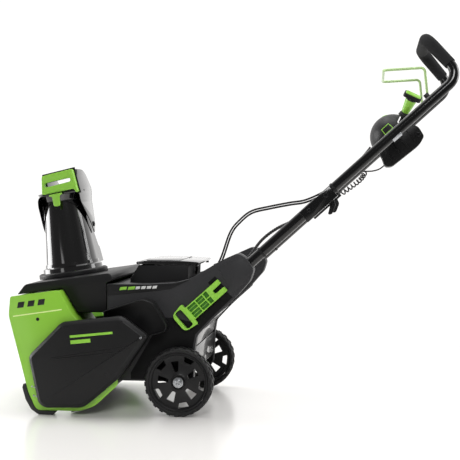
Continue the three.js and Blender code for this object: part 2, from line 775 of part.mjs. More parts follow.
const LID_HINGE_X = -157;
const LID_HINGE_Z = 440;
const lidOutline = outline([
  [-151, 438], [12, 437.5], [36, 437], [41, 442, 3],
  [36, 446], [-16, 449.5, 20], [-130, 449, 8], [-151, 444],
]);
const lid = join(
  prism(lidOutline, -BAY_HALF_WIDTH - 2, BAY_HALF_WIDTH + 2),
  bar(LID_HINGE_X, LID_HINGE_Z, 4.5, -96, 96, 14),
  box(LID_HINGE_X, -150, -96, 96, 439, 443),
);
machine.add(piece('battery_lid', lid, 'glossBlack'));
const latchOutline = outline([[11.5, 402, 2], [16, 400, 2], [21, 414], [21, 436], [12.5, 436], [12.5, 414]]);
machine.add(piece('lid_latch', prism(latchOutline, -24, 24), 'satinBlack'));

machine.add(piece('controller_box', box(-150, -54, -70, 90, 104, 146), 'steel'));

// ---- Clean-out tool, clipped on the left side ---------------------------------------------

const TOOL_SLOPE = 41.8 * DEG;
const toolFrame = new THREE.Group();
toolFrame.position.set(13, 0, 285);
toolFrame.rotation.y = -TOOL_SLOPE;
machine.add(toolFrame);
const toolShape = outline([
  [-23, -30, 14], [23, -38, 8], [23, -22, 4], [104, -22], [152, -22, 3], [152, -7, 2], [118, -6, 4],
  [118, 6, 4], [152, 7, 2], [152, 22, 3], [104, 22], [23, 22, 4], [23, 38, 8], [-23, 30, 14],
]);
toolShape.holes.push(outline([[-13, -30, 8], [11, -30, 8], [11, 30, 8], [-13, 30, 8]]));
const TOOL_BACK = -FRAME_OUTSIDE - 0.8;
toolFrame.add(piece('cleanout_tool', prism(toolShape, TOOL_BACK - 13, TOOL_BACK), 'greenPlastic'));

// ---- Wheels ---------------------------------------------------------------------------

const RIM_RADIUS = 86;
const WINDOW_COUNT = 5;
const FIRST_WINDOW = 101;
const windowOutlines = [
  { turn: 0, points: [[31, -5], [62, -12], [62, 12], [31, 5]] },
  { turn: 36, points: [[60, -11], [76, -17], [76, 17], [60, 11]] },
];
const windows = [];
for (let count = 0; count < WINDOW_COUNT; count += 1) {
  windowOutlines.forEach(({ turn, points }) => {
    const angle = FIRST_WINDOW + turn + (360 / WINDOW_COUNT) * count;
    windows.push(prism(outline(points), -40, 40).rotateY(-angle * DEG));
  });
}
// The outside face of the left wheel looks towards -y.
const rim = cut(
  turned([
    [6.5, -20], [17, -20], [20, -14], [78, -14], [80, -19], [RIM_RADIUS, -19], [RIM_RADIUS, 19],
    [80, 19], [78, -2], [20, -2], [18, 19], [6.5, 19],
  ]),
  ...windows,
);
const tyre = turned([
  [RIM_RADIUS + GAP, -18], [90, -WHEEL_HALF_WIDTH], [96, -WHEEL_HALF_WIDTH], [WHEEL_RADIUS, -17],
  [WHEEL_RADIUS, 17], [96, WHEEL_HALF_WIDTH], [90, WHEEL_HALF_WIDTH], [RIM_RADIUS + GAP, 18],
]);
[['left', -1], ['right', 1]].forEach(([side, sign]) => {
  const wheel = new THREE.Group();
  wheel.position.set(0, sign * WHEEL_MIDDLE, WHEEL_RADIUS);
  wheel.add(piece(`wheel_rim_${side}`, sign < 0 ? rim : mirrored(rim), 'satinBlack'));
  wheel.add(piece(`wheel_tyre_${side}`, tyre, 'rubber'));
  machine.add(wheel);
});
machine.add(piece('wheel_axle', bar(0, WHEEL_RADIUS, 6, -279, 279, 16), 'steel'));

// ---- Folding handle ---------------------------------------------------------------------

const lowerTube = tube(
  [new THREE.Vector3(...onHandle(TUBE_BOTTOM, -HANDLE_HALF_WIDTH)),
    new THREE.Vector3(...onHandle(TUBE_TOP, -HANDLE_HALF_WIDTH))],
  LOWER_TUBE_RADIUS, 16, LOWER_TUBE_RADIUS - TUBE_WALL,
);
machine.add(piece('lower_tube_left', lowerTube, 'blackPaint'));
machine.add(piece('lower_tube_right', mirrored(lowerTube), 'blackPaint'));

// Everything round the fold is drawn in a frame that lies along the tubes.
function handleFrame() {
  const group = new THREE.Group();
  group.position.set(FOLD_X, 0, FOLD_Z);
  group.rotation.y = -HANDLE_SLOPE;
  machine.add(group);
  return group;
}
const foldFrame = handleFrame();
const CHEEK = 3;
const CHEEK_GAP = LOWER_TUBE_RADIUS + 0.6;
const BRACKET_FLOOR = -22;
const channel = outline([
  [-CHEEK_GAP - CHEEK, BRACKET_FLOOR - CHEEK], [CHEEK_GAP + CHEEK, BRACKET_FLOOR - CHEEK],
  [CHEEK_GAP + CHEEK, 13], [CHEEK_GAP, 13], [CHEEK_GAP, BRACKET_FLOOR], [-CHEEK_GAP, BRACKET_FLOOR],
  [-CHEEK_GAP, 13], [-CHEEK_GAP - CHEEK, 13],
]);
const FOLD_PIN_RADIUS = 4;
const bracket = join(
  prismX(channel, -92, 24),
  bar(0, 0, FOLD_PIN_RADIUS, -CHEEK_GAP - CHEEK - 3, CHEEK_GAP + CHEEK + 3, 12),
).translate(0, -HANDLE_HALF_WIDTH, 0);
foldFrame.add(piece('fold_bracket_left', bracket, 'satinBlack'));
foldFrame.add(piece('fold_bracket_right', mirrored(bracket), 'satinBlack'));

// Cam levers stand against the brackets' inner cheeks and hang below the tubes.
const leverOutline = outline([
  [-9, 1.6], [9, 1.6], [12, -8, 6], [2, -40, 6], [-26, -54, 6], [-36, -46, 6], [-12, -30, 6], [-9, -8, 4],
]);
const LEVER_SIDE = HANDLE_HALF_WIDTH - CHEEK_GAP - CHEEK - 3 - GAP;
const lever = prism(leverOutline, -LEVER_SIDE, -LEVER_SIDE + 9);
foldFrame.add(piece('cam_lever_left', lever, 'satinBlack'));
foldFrame.add(piece('cam_lever_right', mirrored(lever), 'satinBlack'));

const BEND_X = 812;
const BEND_Z = 996.7;
const CORNER_X = 716;
const CORNER_Z = 1106;
const CORNER_HALF_WIDTH = 158;
const BEND_RADIUS = 45;
const handleCorners = [
  onHandle(-14, -HANDLE_HALF_WIDTH),
  [BEND_X, -HANDLE_HALF_WIDTH, BEND_Z],
  [CORNER_X, -CORNER_HALF_WIDTH, CORNER_Z],
  [CORNER_X, CORNER_HALF_WIDTH, CORNER_Z],
  [BEND_X, HANDLE_HALF_WIDTH, BEND_Z],
  onHandle(-14, HANDLE_HALF_WIDTH),
];
const handleStations = route(handleCorners, [BEND_RADIUS, BEND_RADIUS, BEND_RADIUS, BEND_RADIUS]);
const upperHandle = cut(
  tube(handleStations, TUBE_RADIUS, 12, TUBE_RADIUS - TUBE_WALL),
  bar(FOLD_X, FOLD_Z, FOLD_PIN_RADIUS + GAP, -240, 240, 12),
);
machine.add(piece('upper_handle', upperHandle, 'blackPaint'));
const BEND_STATIONS = 6;
const gripStations = handleStations.slice(BEND_STATIONS, -BEND_STATIONS);
machine.add(piece('foam_grip', tube(gripStations, GRIP_RADIUS, 12, TUBE_RADIUS + 1.3), 'foam'));

// ---- Console and controls -----------------------------------------------------------------

const CONSOLE_RUN = 265;
const consoleFrame = new THREE.Group();
consoleFrame.position.set(...onHandle(CONSOLE_RUN, 0));
consoleFrame.rotation.y = -HANDLE_SLOPE;
machine.add(consoleFrame);
const DOME_RADIUS = 70;
const DOME_WIDENING = 1.2;
const STICK_LIFT = 22.5 * DEG;
const domeProfile = [
  ...arc(0, 0, DOME_RADIUS, 0, 90, 6),
  ...arc(0, 0, DOME_RADIUS - WALL, 90, 0, 6),
];
const stickSlot = box(30, 90, -68, 68, -10, 10).rotateY(-STICK_LIFT);
const BUTTON_TURN = 20 * DEG;
const buttonHole = bar(0, 0, 9.4, 40, 90, 16).rotateX(Math.PI / 2).rotateY(BUTTON_TURN);
const dome = cut(
  turnedUp(domeProfile, 24).scale(1, DOME_WIDENING, 1).translate(0, 0, 1),
  stickSlot,
  buttonHole,
);
consoleFrame.add(piece('console_dome', dome, 'satinBlack'));
const baseOutline = [
  [-80, -52, 8], [-64, -66, 8], [40, -72, 10], [68, -62, 8],
  [74, -28, 10], [60, -3], [-66, -3], [-68, -22, 6],
];
const baseHollow = offset(baseOutline, WALL).map(([x, z]) => [x, z > -10 ? 5 : z]);
const consoleBase = cut(
  prism(outline(baseOutline), -78, 78),
  prism(outline(baseHollow), -78 + WALL, 78 - WALL),
);
consoleFrame.add(piece('console_base', consoleBase, 'satinBlack'));

// Steel cross bracket: a plate between the tubes with a saddle under each.
const saddleSection = [
  ...arc(HANDLE_HALF_WIDTH, 0, TUBE_RADIUS + 3.4, 180, 330, 8),
  ...arc(HANDLE_HALF_WIDTH, 0, TUBE_RADIUS + 0.5, 330, 180, 8),
];
const rightSaddle = prismX(outline(saddleSection), -16, 16);
const bracketReach = HANDLE_HALF_WIDTH - TUBE_RADIUS - 1.5;
const bracketPlate = box(-26, 26, -bracketReach, bracketReach, -2.4, 0.4);
consoleFrame.add(piece('console_bracket', join(bracketPlate, rightSaddle, mirrored(rightSaddle)), 'steel'));

// Chute control stick: stands out of the dome's slot and leans to the left.
const STICK_LEAN = 28 * DEG;
const STICK_PIVOT = 48;
const stickProfile = [
  [0, 0], [5, 0], [5, 26], [17, 28], [14, 38], [9, 44], [11, 52], [15, 84], [18, 86], [18, 92], [0, 92],
];
const stickCap = prismZ(outline([[-25, -11], [25, -11], [25, 11], [-25, 11]], 8), 90, 104);
const stick = new THREE.Group();
stick.position.set(STICK_PIVOT * Math.cos(STICK_LIFT), 0, STICK_PIVOT * Math.sin(STICK_LIFT));
stick.rotation.order = 'YXZ';
stick.rotation.y = Math.PI / 2 - STICK_LIFT;
stick.rotation.x = STICK_LEAN;
stick.add(piece('control_stick', join(turnedUp(stickProfile, 20), stickCap), 'greenPlastic'));
consoleFrame.add(stick);

const button = bar(0, 0, 9, 56, 75, 16).rotateX(Math.PI / 2).rotateY(BUTTON_TURN);
consoleFrame.add(piece('start_button', button, 'greenPlastic'));

// Bail: a bent rod that the operator squeezes against the grip.
const BAIL_HALF_WIDTH = 182;
const bailRight = [
  [720, BAIL_HALF_WIDTH + 8, 933],
  [720, BAIL_HALF_WIDTH, 934],
  [711, BAIL_HALF_WIDTH, 1020],
  [593, BAIL_HALF_WIDTH, 1014],
];
const bailLeft = bailRight.map(([x, y, z]) => [x, -y, z]).reverse();
const bailStations = route([...bailRight, ...bailLeft], [6, 12, 14, 14, 12, 6], 4);
machine.add(piece('bail_rod', tube(bailStations, 4, 8), 'greenPlastic'));

// ---- Control cables and wiring ---------------------------------------------------------

// The two chute cables run side by side, so they are one flat lead.
const twinSection = new THREE.Shape(ring(5, 8).getPoints().map((point) => point.multiply({ x: 0.5, y: 1 })));
const chuteCableRoute = smoothRoute([
  [52, -60, 366],
  [74, -60, 404],
  [101, -60, 455],
  [130, -70, 533],
  [160, -82, 570],
  [198, -100, 598],
  [255, -125, 612],
  [318, -155, 624],
  [366, -176, 632],
], 22);
machine.add(piece('chute_cable_lower', tube(chuteCableRoute, 0, 0, 0, twinSection), 'rubber'));
const upperCableRoute = smoothRoute([
  onHandle(46, -176, 6),
  onHandle(100, -172, 6),
  onHandle(150, -140, 10),
  onHandle(182, -90, 16),
  onHandle(CONSOLE_RUN - DOME_RADIUS - 4, -30, 20),
], 9);
machine.add(piece('chute_cable_upper', tube(upperCableRoute, 0, 0, 0, twinSection), 'rubber'));

const conduitRoute = smoothRoute([
  [70, 140, 342],
  [112, 148, 392],
  [160, 158, 446],
  [203, 165, 502],
  [249, 170, 538],
  [295, 172, 561],
  [345, 172, 590],
  [388, 172, 622],
], 24);
machine.add(piece('harness_conduit', tube(conduitRoute, 5.5, 10), 'rubber'));
const coilRoute = smoothRoute([
  onHandle(30, 150, -22),
  onHandle(70, 140, -26),
  onHandle(105, 120, -28),
  onHandle(130, 96, -22),
], 8);
machine.add(piece('coiled_cord', tube(coilRoute, 9, 12), 'rubber'));

export default machine;
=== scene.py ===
import json
import math

import bpy
from mathutils import Matrix, Vector

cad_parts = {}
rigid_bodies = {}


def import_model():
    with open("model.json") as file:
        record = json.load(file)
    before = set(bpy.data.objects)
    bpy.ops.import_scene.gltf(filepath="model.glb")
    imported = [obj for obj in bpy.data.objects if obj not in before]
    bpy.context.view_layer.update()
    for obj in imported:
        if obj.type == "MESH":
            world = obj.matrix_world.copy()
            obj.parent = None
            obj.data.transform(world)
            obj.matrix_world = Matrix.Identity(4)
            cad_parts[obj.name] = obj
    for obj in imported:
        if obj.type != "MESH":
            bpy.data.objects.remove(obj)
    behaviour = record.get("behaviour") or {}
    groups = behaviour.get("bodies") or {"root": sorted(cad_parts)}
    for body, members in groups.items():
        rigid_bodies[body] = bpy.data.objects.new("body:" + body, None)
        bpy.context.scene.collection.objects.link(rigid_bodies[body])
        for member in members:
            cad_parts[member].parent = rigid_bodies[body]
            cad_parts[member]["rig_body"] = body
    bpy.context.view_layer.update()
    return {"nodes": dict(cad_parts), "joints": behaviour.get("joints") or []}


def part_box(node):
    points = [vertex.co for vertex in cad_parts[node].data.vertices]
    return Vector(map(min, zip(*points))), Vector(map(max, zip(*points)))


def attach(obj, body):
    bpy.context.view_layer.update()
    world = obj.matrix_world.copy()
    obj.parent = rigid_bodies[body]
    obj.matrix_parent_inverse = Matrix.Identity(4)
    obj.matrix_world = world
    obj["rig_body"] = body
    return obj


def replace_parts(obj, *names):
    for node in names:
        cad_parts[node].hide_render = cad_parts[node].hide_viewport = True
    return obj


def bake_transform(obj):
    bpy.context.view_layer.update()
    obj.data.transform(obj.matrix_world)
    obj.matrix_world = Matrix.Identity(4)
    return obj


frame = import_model()

# ---- Camera -------------------------------------------------------------------------------
# It stands three and a half metres off the machine's left side, a little behind the chute,
# at the height of the handle's fold.

bpy.context.scene.view_settings.view_transform = "Standard"
camera_data = bpy.data.cameras.new("camera")
camera_data.lens = 91.25
camera_data.clip_end = 100
camera = bpy.data.objects.new("camera", camera_data)
camera.location = (0.4132, -3.6287, 0.6547)
camera.rotation_euler = (math.radians(88.2), 0, math.radians(7))
bpy.context.collection.objects.link(camera)
bpy.context.scene.camera = camera

# ---- Studio -------------------------------------------------------------------------------
# A round sheet of warm white laminate lies under the machine and takes soft contact shadows
# and a faint reflection. The wall behind is lit white, the room in front is dim, and softboxes
# hang over the machine and stand in front of it and at both ends.


def linear(code):
    """The linear colour, with alpha, of an sRGB hex value."""
    parts = [int(code[start:start + 2], 16) / 255 for start in (1, 3, 5)]
    return [p / 12.92 if p <= 0.04045 else ((p + 0.055) / 1.055) ** 2.4 for p in parts] + [1]


def add_node(tree, kind, settings=None, links=None):
    """A new node with its settings, by property or input name, and its inputs linked."""
    node = tree.nodes.new(kind)
    for key, value in (settings or {}).items():
        if isinstance(key, str) and hasattr(node, key):
            setattr(node, key, value)
        else:
            node.inputs[key].default_value = value
    for key, socket in (links or {}).items():
        tree.links.new(socket, node.inputs[key])
    return node


def surface(name, colours, roughness, grain, depth, metallic=0, coat=0, clouds=40,
            stretch=(1, 1, 1), specular=0.5):
    """A finish: two tones that drift over clouds mm, a roughness range, and a skin with a grain
    of that many mm and that depth in mm. stretch draws the grain out along an axis."""
    made = bpy.data.materials.new(name)
    made.use_nodes = True
    tree = made.node_tree
    shader = tree.nodes["Principled BSDF"]
    shader.inputs["Metallic"].default_value = metallic
    shader.inputs["Coat Weight"].default_value = coat
    shader.inputs["Coat Roughness"].default_value = 0.08
    shader.inputs["Specular IOR Level"].default_value = specular
    place = add_node(tree, "ShaderNodeTexCoord").outputs["Object"]
    drift = add_node(tree, "ShaderNodeTexNoise", {"Scale": 1000 / clouds, "Detail": 4},
                     {"Vector": place})
    tone = add_node(tree, "ShaderNodeMix",
                    {"data_type": "RGBA", 6: linear(colours[0]), 7: linear(colours[1])},
                    {0: drift.outputs["Fac"]})
    drawn = add_node(tree, "ShaderNodeMapping", {"Scale": stretch}, {"Vector": place})
    skin = add_node(tree, "ShaderNodeTexNoise", {"Scale": 1000 / grain, "Detail": 3},
                    {"Vector": drawn.outputs["Vector"]})
    gloss = add_node(tree, "ShaderNodeMapRange", {"To Min": roughness[0], "To Max": roughness[1]},
                     {"Value": drift.outputs["Fac"]})
    bump = add_node(tree, "ShaderNodeBump", {"Strength": 0.6, "Distance": depth / 1000},
                    {"Height": skin.outputs["Fac"]})
    tree.links.new(tone.outputs[2], shader.inputs["Base Color"])
    tree.links.new(gloss.outputs["Result"], shader.inputs["Roughness"])
    tree.links.new(bump.outputs["Normal"], shader.inputs["Normal"])
    return made


laminate = surface("warm_white_laminate", ("#F3F1EE", "#F5F3F1"), (0.2, 0.22), 3, 0.0005,
                   clouds=900)
bpy.ops.object.select_all(action="DESELECT")
bpy.ops.mesh.primitive_circle_add(vertices=128, radius=2.4, fill_type="NGON")
floor = bpy.context.object
floor.name = "studio_floor"
floor.data.materials.append(laminate)
# The sheet fades out towards its edge, so no line shows where it meets the wall.
sheet_tree = laminate.node_tree
from_middle = add_node(sheet_tree, "ShaderNodeTexCoord").outputs["Object"]
distance = add_node(sheet_tree, "ShaderNodeVectorMath", {"operation": "LENGTH"}, {0: from_middle})
fade = add_node(sheet_tree, "ShaderNodeMapRange",
                {"interpolation_type": "SMOOTHSTEP", "From Min": 0.9, "From Max": 2.3, "To Min": 1.0,
                 "To Max": 0.0}, {"Value": distance.outputs["Value"]})
sheet_tree.links.new(fade.outputs["Result"], sheet_tree.nodes["Principled BSDF"].inputs["Alpha"])

studio_air = bpy.data.worlds.new("studio_air")
studio_air.use_nodes = True
sky = studio_air.node_tree.nodes["Background"]
sky.inputs["Color"].default_value = linear("#FFFEFD")
direction = add_node(studio_air.node_tree, "ShaderNodeTexCoord").outputs["Generated"]
ahead = add_node(studio_air.node_tree, "ShaderNodeSeparateXYZ", {}, {"Vector": direction})
glow = add_node(studio_air.node_tree, "ShaderNodeMapRange",
                {"interpolation_type": "SMOOTHSTEP", "From Min": -0.5, "From Max": 0.5, "To Min": 0.17,
                 "To Max": 1.08}, {"Value": ahead.outputs["Y"]})
studio_air.node_tree.links.new(glow.outputs["Result"], sky.inputs["Strength"])
bpy.context.scene.world = studio_air

for name, place, target, size, watts in (
    ("softbox_top", (0.1, 0.1, 2.9), (0, 0, 0.3), (2.6, 1.6), 34),
    ("softbox_nose", (-2.6, 0.4, 0.95), (-0.5, 0, 0.5), (1.3, 1.7), 44),
    ("softbox_strip", (-1.66, -2.23, 0.35), (-0.5, 0, 0.45), (0.5, 0.8), 2.5),
    ("softbox_tail", (2.7, 0.6, 1.4), (-0.2, 0, 0.5), (1.2, 2.0), 30),
    ("softbox_front", (0.6, -3.4, 2.6), (0, 0, 0.4), (1.6, 1.0), 58),
):
    lamp = bpy.data.lights.new(name, "AREA")
    lamp.shape = "RECTANGLE"
    lamp.size, lamp.size_y = size
    lamp.energy = watts
    box = bpy.data.objects.new(name, lamp)
    box.location = place
    box.rotation_euler = (Vector(place) - Vector(target)).to_track_quat("Z", "Y").to_euler()
    bpy.context.collection.objects.link(box)

# ---- Auger housing ------------------------------------------------------------------------
# Rolled and welded 3 mm sheet steel, powder coated in lime: even and glossy, with the fine
# orange peel that such a coating cures to.

low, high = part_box("wheel_axle")
AXLE_X = (low.x + high.x) / 2


def at(x, y, z):
    """A point given in millimetres from the ground under the middle of the wheel axle."""
    return Vector((AXLE_X + x / 1000, y / 1000, z / 1000))


def round_edges(piece, edge, segments, corner=30, clamp=True):
    """Rounds the active piece's edges by edge mm where its faces turn by over corner degrees."""
    rounding = piece.modifiers.new("rounding", "BEVEL")
    rounding.width = edge / 1000
    rounding.segments = segments
    rounding.angle_limit = math.radians(corner)
    rounding.use_clamp_overlap = clamp
    bpy.ops.object.modifier_apply(modifier="rounding")


def eased(node, look, edge=0.0, corner=28):
    """A copy of a CAD node, its triangles merged into faces and its edges rounded by edge mm."""
    source = frame["nodes"][node]
    piece = bpy.data.objects.new(node + "_finished", source.data.copy())
    bpy.context.collection.objects.link(piece)
    bpy.ops.object.select_all(action="DESELECT")
    piece.select_set(True)
    bpy.context.view_layer.objects.active = piece
    bpy.ops.mesh.customdata_custom_splitnormals_clear()
    bpy.ops.object.mode_set(mode="EDIT")
    bpy.ops.mesh.select_all(action="SELECT")
    bpy.ops.mesh.remove_doubles(threshold=0.00001)
    bpy.ops.mesh.dissolve_limited(angle_limit=math.radians(0.6))
    bpy.ops.object.mode_set(mode="OBJECT")
    if edge:
        round_edges(piece, edge, 3, corner, clamp=False)
    bpy.ops.object.shade_smooth_by_angle(angle=math.radians(40))
    piece.data.materials.clear()
    piece.data.materials.append(look)
    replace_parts(piece, node)
    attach(piece, source["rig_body"])
    return piece


def settle(name, body, look, smooth=40):
    """Names the new piece, puts its place into its mesh and hands it to its body."""
    piece = bpy.context.object
    piece.name = name
    piece.data.name = name
    bpy.ops.object.transform_apply(location=True, rotation=True, scale=True)
    bpy.ops.object.mode_set(mode="EDIT")
    bpy.ops.mesh.select_all(action="SELECT")
    bpy.ops.mesh.normals_make_consistent(inside=False)
    bpy.ops.object.mode_set(mode="OBJECT")
    bpy.ops.object.shade_smooth_by_angle(angle=math.radians(smooth))
    piece.data.materials.clear()
    piece.data.materials.append(look)
    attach(piece, body)
    return piece


def block(size, place, turn=(0, 0, 0), edge=0.6, slant=0.0):
    """A bar of size mm, placed in metres, with rounded edges. slant leans its +Z face along X."""
    bpy.ops.object.select_all(action="DESELECT")
    bpy.ops.mesh.primitive_cube_add(size=1, location=place, rotation=turn,
                                    scale=[length / 1000 for length in size])
    bpy.ops.object.transform_apply(location=False, rotation=False, scale=True)
    bar = bpy.context.object
    round_edges(bar, edge, 2)
    if slant:
        for vertex in bar.data.vertices:
            vertex.co.x += slant * vertex.co.z
    return bar


def screw(name, place, outwards, body, radius, height, look):
    """A pan-head screw with a round socket, its head standing outwards from place."""
    turn = Vector(outwards).to_track_quat("Z", "Y").to_euler()
    bpy.ops.object.select_all(action="DESELECT")
    bpy.ops.mesh.primitive_cylinder_add(vertices=24, radius=radius / 1000, depth=height / 1000,
                                        location=Vector(place) + Vector(outwards) * height / 2000,
                                        rotation=turn)
    bpy.ops.object.transform_apply(location=False, rotation=False, scale=True)
    head = bpy.context.object
    bpy.ops.object.mode_set(mode="EDIT")
    bpy.ops.mesh.select_all(action="DESELECT")
    bpy.ops.object.mode_set(mode="OBJECT")
    for face in head.data.polygons:
        face.select = face.normal.z > 0.9
    bpy.ops.object.mode_set(mode="EDIT")
    bpy.ops.mesh.inset(thickness=radius / 1000 * 0.2)
    bpy.ops.transform.translate(value=Vector(outwards) * height / 4000)
    bpy.ops.mesh.inset(thickness=radius / 1000 * 0.32)
    bpy.ops.mesh.inset(thickness=0.00001)
    bpy.ops.transform.translate(value=Vector(outwards) * -height / 1300)
    bpy.ops.object.mode_set(mode="OBJECT")
    return settle(name, body, look, smooth=30)


SIDES = (("left", -1), ("right", 1))
lime_coat = surface("lime_powder_coat", ("#8FCC3C", "#93D040"), (0.28, 0.36), 1.6, 0.02, coat=0.1)
ink_black = surface("screen_printed_black_ink", ("#0C0C0D", "#101011"), (0.4, 0.5), 0.5, 0.004)
# Painted highlight: a pale strip along the crease under the brow.
crease_highlight_paint = surface("painted_crease_highlight", ("#E4FF9C", "#EEFFB4"), (0.3, 0.4), 1.2, 0.01)
# Blackened steel for the screws; on the cutter hole the same black is painted shade.
black_oxide_and_hole_shade = surface("black_oxide_steel_and_hole_shade", ("#1B1B1D", "#252527"), (0.3, 0.42), 0.4, 0.01,
                      metallic=0.6)
zinc = surface("zinc_plated_steel", ("#B9BBBE", "#9FA2A6"), (0.22, 0.34), 0.5, 0.008, metallic=1,
               stretch=(1, 8, 1))
eased("auger_shell", lime_coat, 0.8)
PLATE = 287
for side, sign in SIDES:
    eased(f"side_plate_{side}", lime_coat, 1.3)
    outwards = Vector((0, sign, 0))
    face = sign * (PLATE + 0.1)
    # A crease is pressed into the sheet under the brow; its pale strip is a painted highlight.
    block((150, 1.4, 3.6), at(-420, face, 301.5), (0, math.radians(-8.4), 0), 0.6)
    settle(f"crease_{side}", "machine", crease_highlight_paint)
    # Three slanted dashes and a short bar are printed on the brow.
    for count in range(3):
        block((20, 0.8, 17), at(-470 + 31 * count, face, 325 + 4.4 * count),
              (0, math.radians(-8), 0), 0.3, slant=0.35)
        settle(f"brow_dash_{side}_{count}", "machine", ink_black)
    # The cutter hole is drawn as a black screw head: painted shade for the dark inside of the hole.
    screw(f"cutter_hole_{side}", at(-419, sign * PLATE, 283), outwards, "machine", 5, 0.6,
          black_oxide_and_hole_shade)
    for count, (x, z) in enumerate(((-437, 83), (-429, 81), (-432, 56), (-424, 54))):
        screw(f"skid_screw_{side}_{count}", at(x, sign * PLATE, z), outwards, "machine", 2.6, 1.2,
              zinc)

# ---- Skid shoes and scraper ---------------------------------------------------------------
# Two shoes and the strip along the housing's lip, moulded from hard black polyethylene and
# scuffed to a satin sheen where they slide.

polyethylene = surface("black_polyethylene", ("#131314", "#1D1D1E"), (0.42, 0.6), 1.2, 0.03,
                       clouds=15)
for node in ("skid_shoe_left", "skid_shoe_right", "scraper_bar"):
    eased(node, polyethylene, 1.2)

# ---- Auger --------------------------------------------------------------------------------
# Cord-reinforced rubber paddles are bolted round a steel shaft: dull black with a faint
# pattern of the mould. The drive's metal and rubber parts are finished here too.

paddle_rubber = surface("moulded_paddle_rubber", ("#161616", "#222221"), (0.6, 0.8), 1.5, 0.06,
                        clouds=22)
shaft_steel = surface("drawn_steel_bar", ("#8C8E91", "#A3A5A8"), (0.25, 0.4), 0.6, 0.01,
                      metallic=1, stretch=(6, 0.4, 6))
for node in ("paddle_left", "paddle_centre", "paddle_right"):
    eased(node, paddle_rubber, 1.0, corner=40)
eased("auger_shaft", shaft_steel, 0.8)
for node in ("auger_bearing_left", "auger_bearing_right", "auger_pulley", "motor_pulley",
             "idler_pulley", "wheel_axle"):
    eased(node, zinc, 0.4)
cast_aluminium = surface("cast_aluminium", ("#8E9094", "#A4A6AA"), (0.4, 0.55), 1.4, 0.03,
                         metallic=1)
eased("drive_motor", cast_aluminium, 1.5)
eased("controller_box", cast_aluminium, 3)
belt_rubber = surface("ribbed_belt_rubber", ("#121212", "#1A1A1A"), (0.55, 0.7), 0.8, 0.03)
eased("drive_belt", belt_rubber, 0.5)
low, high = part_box("auger_shaft")
AUGER_X = (low.x + high.x) / 2 * 1000 - AXLE_X * 1000
AUGER_Z = (low.z + high.z) / 2 * 1000
HUB_RADIUS = 23.8
# Each flight is held to its hub by two through bolts.
for count, y in enumerate((-240, -165, -90, -30, 30, 90, 165, 240)):
    for face, turn in enumerate((50, 230)):
        out = Vector((math.cos(math.radians(turn)), 0, math.sin(math.radians(turn))))
        place = at(AUGER_X + out.x * HUB_RADIUS, y, AUGER_Z + out.z * HUB_RADIUS)
        screw(f"hub_bolt_{count}_{face}", place, out, "auger", 4.5, 3, zinc)

# ---- Belt cover and bearing cover ---------------------------------------------------------
# Injection moulded ABS over the belt drive, and its smaller twin on the right: near black,
# with a spark-eroded satin texture and softened edges that catch the light.

abs_satin = surface("spark_eroded_abs", ("#131314", "#171718"), (0.38, 0.46), 0.7, 0.02, clouds=90,
                    specular=0.28)
print_green = surface("printed_green_ink", ("#8BCB3B", "#93D243"), (0.4, 0.5), 0.5, 0.004)
eased("belt_cover", abs_satin, 2.2, corner=20)
eased("bearing_cover", abs_satin, 2.2, corner=20)
COVER = 318
# A tapered rib is moulded across the face, as two long blades that meet at the front.
for count, (lift, lean, length) in enumerate(((4.5, -9.6, 226), (-3.5, -7.2, 205))):
    block((length, 3.2, 2.4), at(-258, -COVER - 0.2, 186 + lift), (0, math.radians(lean), 0), 0.9)
    settle(f"cover_rib_{count}", "machine", abs_satin)
# Two plain bars are printed above the rib.
for name, size, x, z in (("wide", (128, 0.7, 7), -250, 243), ("short", (60, 0.7, 11), -282, 223)):
    block(size, at(x, -COVER - 0.1, z), (0, math.radians(-6), 0), 0.3)
    settle(f"cover_bar_{name}", "machine", print_green)
ZINC_SCREW = (-104, 236)
for side, sign, places in (
    ("left", -1, ((-338, 263), (-425, 172), (-398, 47), (-282, 42), (-206, 128), (-160, 283),
                  ZINC_SCREW)),
    ("right", 1, ((-375, 220), (-425, 172), (-398, 47), (-282, 42), (-228, 128), (-280, 218))),
):
    for count, (x, z) in enumerate(places):
        outwards = Vector((0, sign, 0))
        screw(f"cover_screw_{side}_{count}", at(x, sign * (COVER - 1.2), z), outwards, "machine",
              3.4, 1.6, zinc if (x, z) == ZINC_SCREW else black_oxide_and_hole_shade)
eased("belt_housing", abs_satin, 2)

# ---- Shroud, tub, deck and battery bay ----------------------------------------------------
# The body is a set of ribbed ABS shells screwed together: satin black above, and a glossier
# copy on the tub and the rear cover, whose lighter tone is painted sheen from the light behind.

# A lighter copy of the satin ABS: its lighter tone is painted sheen.
abs_painted_sheen = surface("abs_with_painted_sheen", ("#1C1C1D", "#212122"), (0.3, 0.36), 0.7, 0.01, coat=0.7,
                    clouds=90)
for node, edge, look in (("upper_shroud", 3, abs_satin), ("body_tub", 1.2, abs_painted_sheen),
                         ("rear_cover", 1, abs_painted_sheen), ("top_deck", 1.2, abs_satin),
                         ("battery_bay", 2.5, abs_satin)):
    eased(node, look, edge)
# Cooling ribs run across the rear cover.
for count in range(6):
    block((1.6, 150, 2.4), at(51 + 5.2 * count, 0, 240 + 5.6 * count),
          (0, math.radians(-47), 0), 0.5)
    settle(f"cooling_rib_{count}", "machine", abs_satin)

# ---- Battery lid, latch and pack ----------------------------------------------------------
# The lid is polished ABS, deep black and mirror smooth apart from fine handling marks. Its
# raised panel and the two feet of its lip are moulded with it.

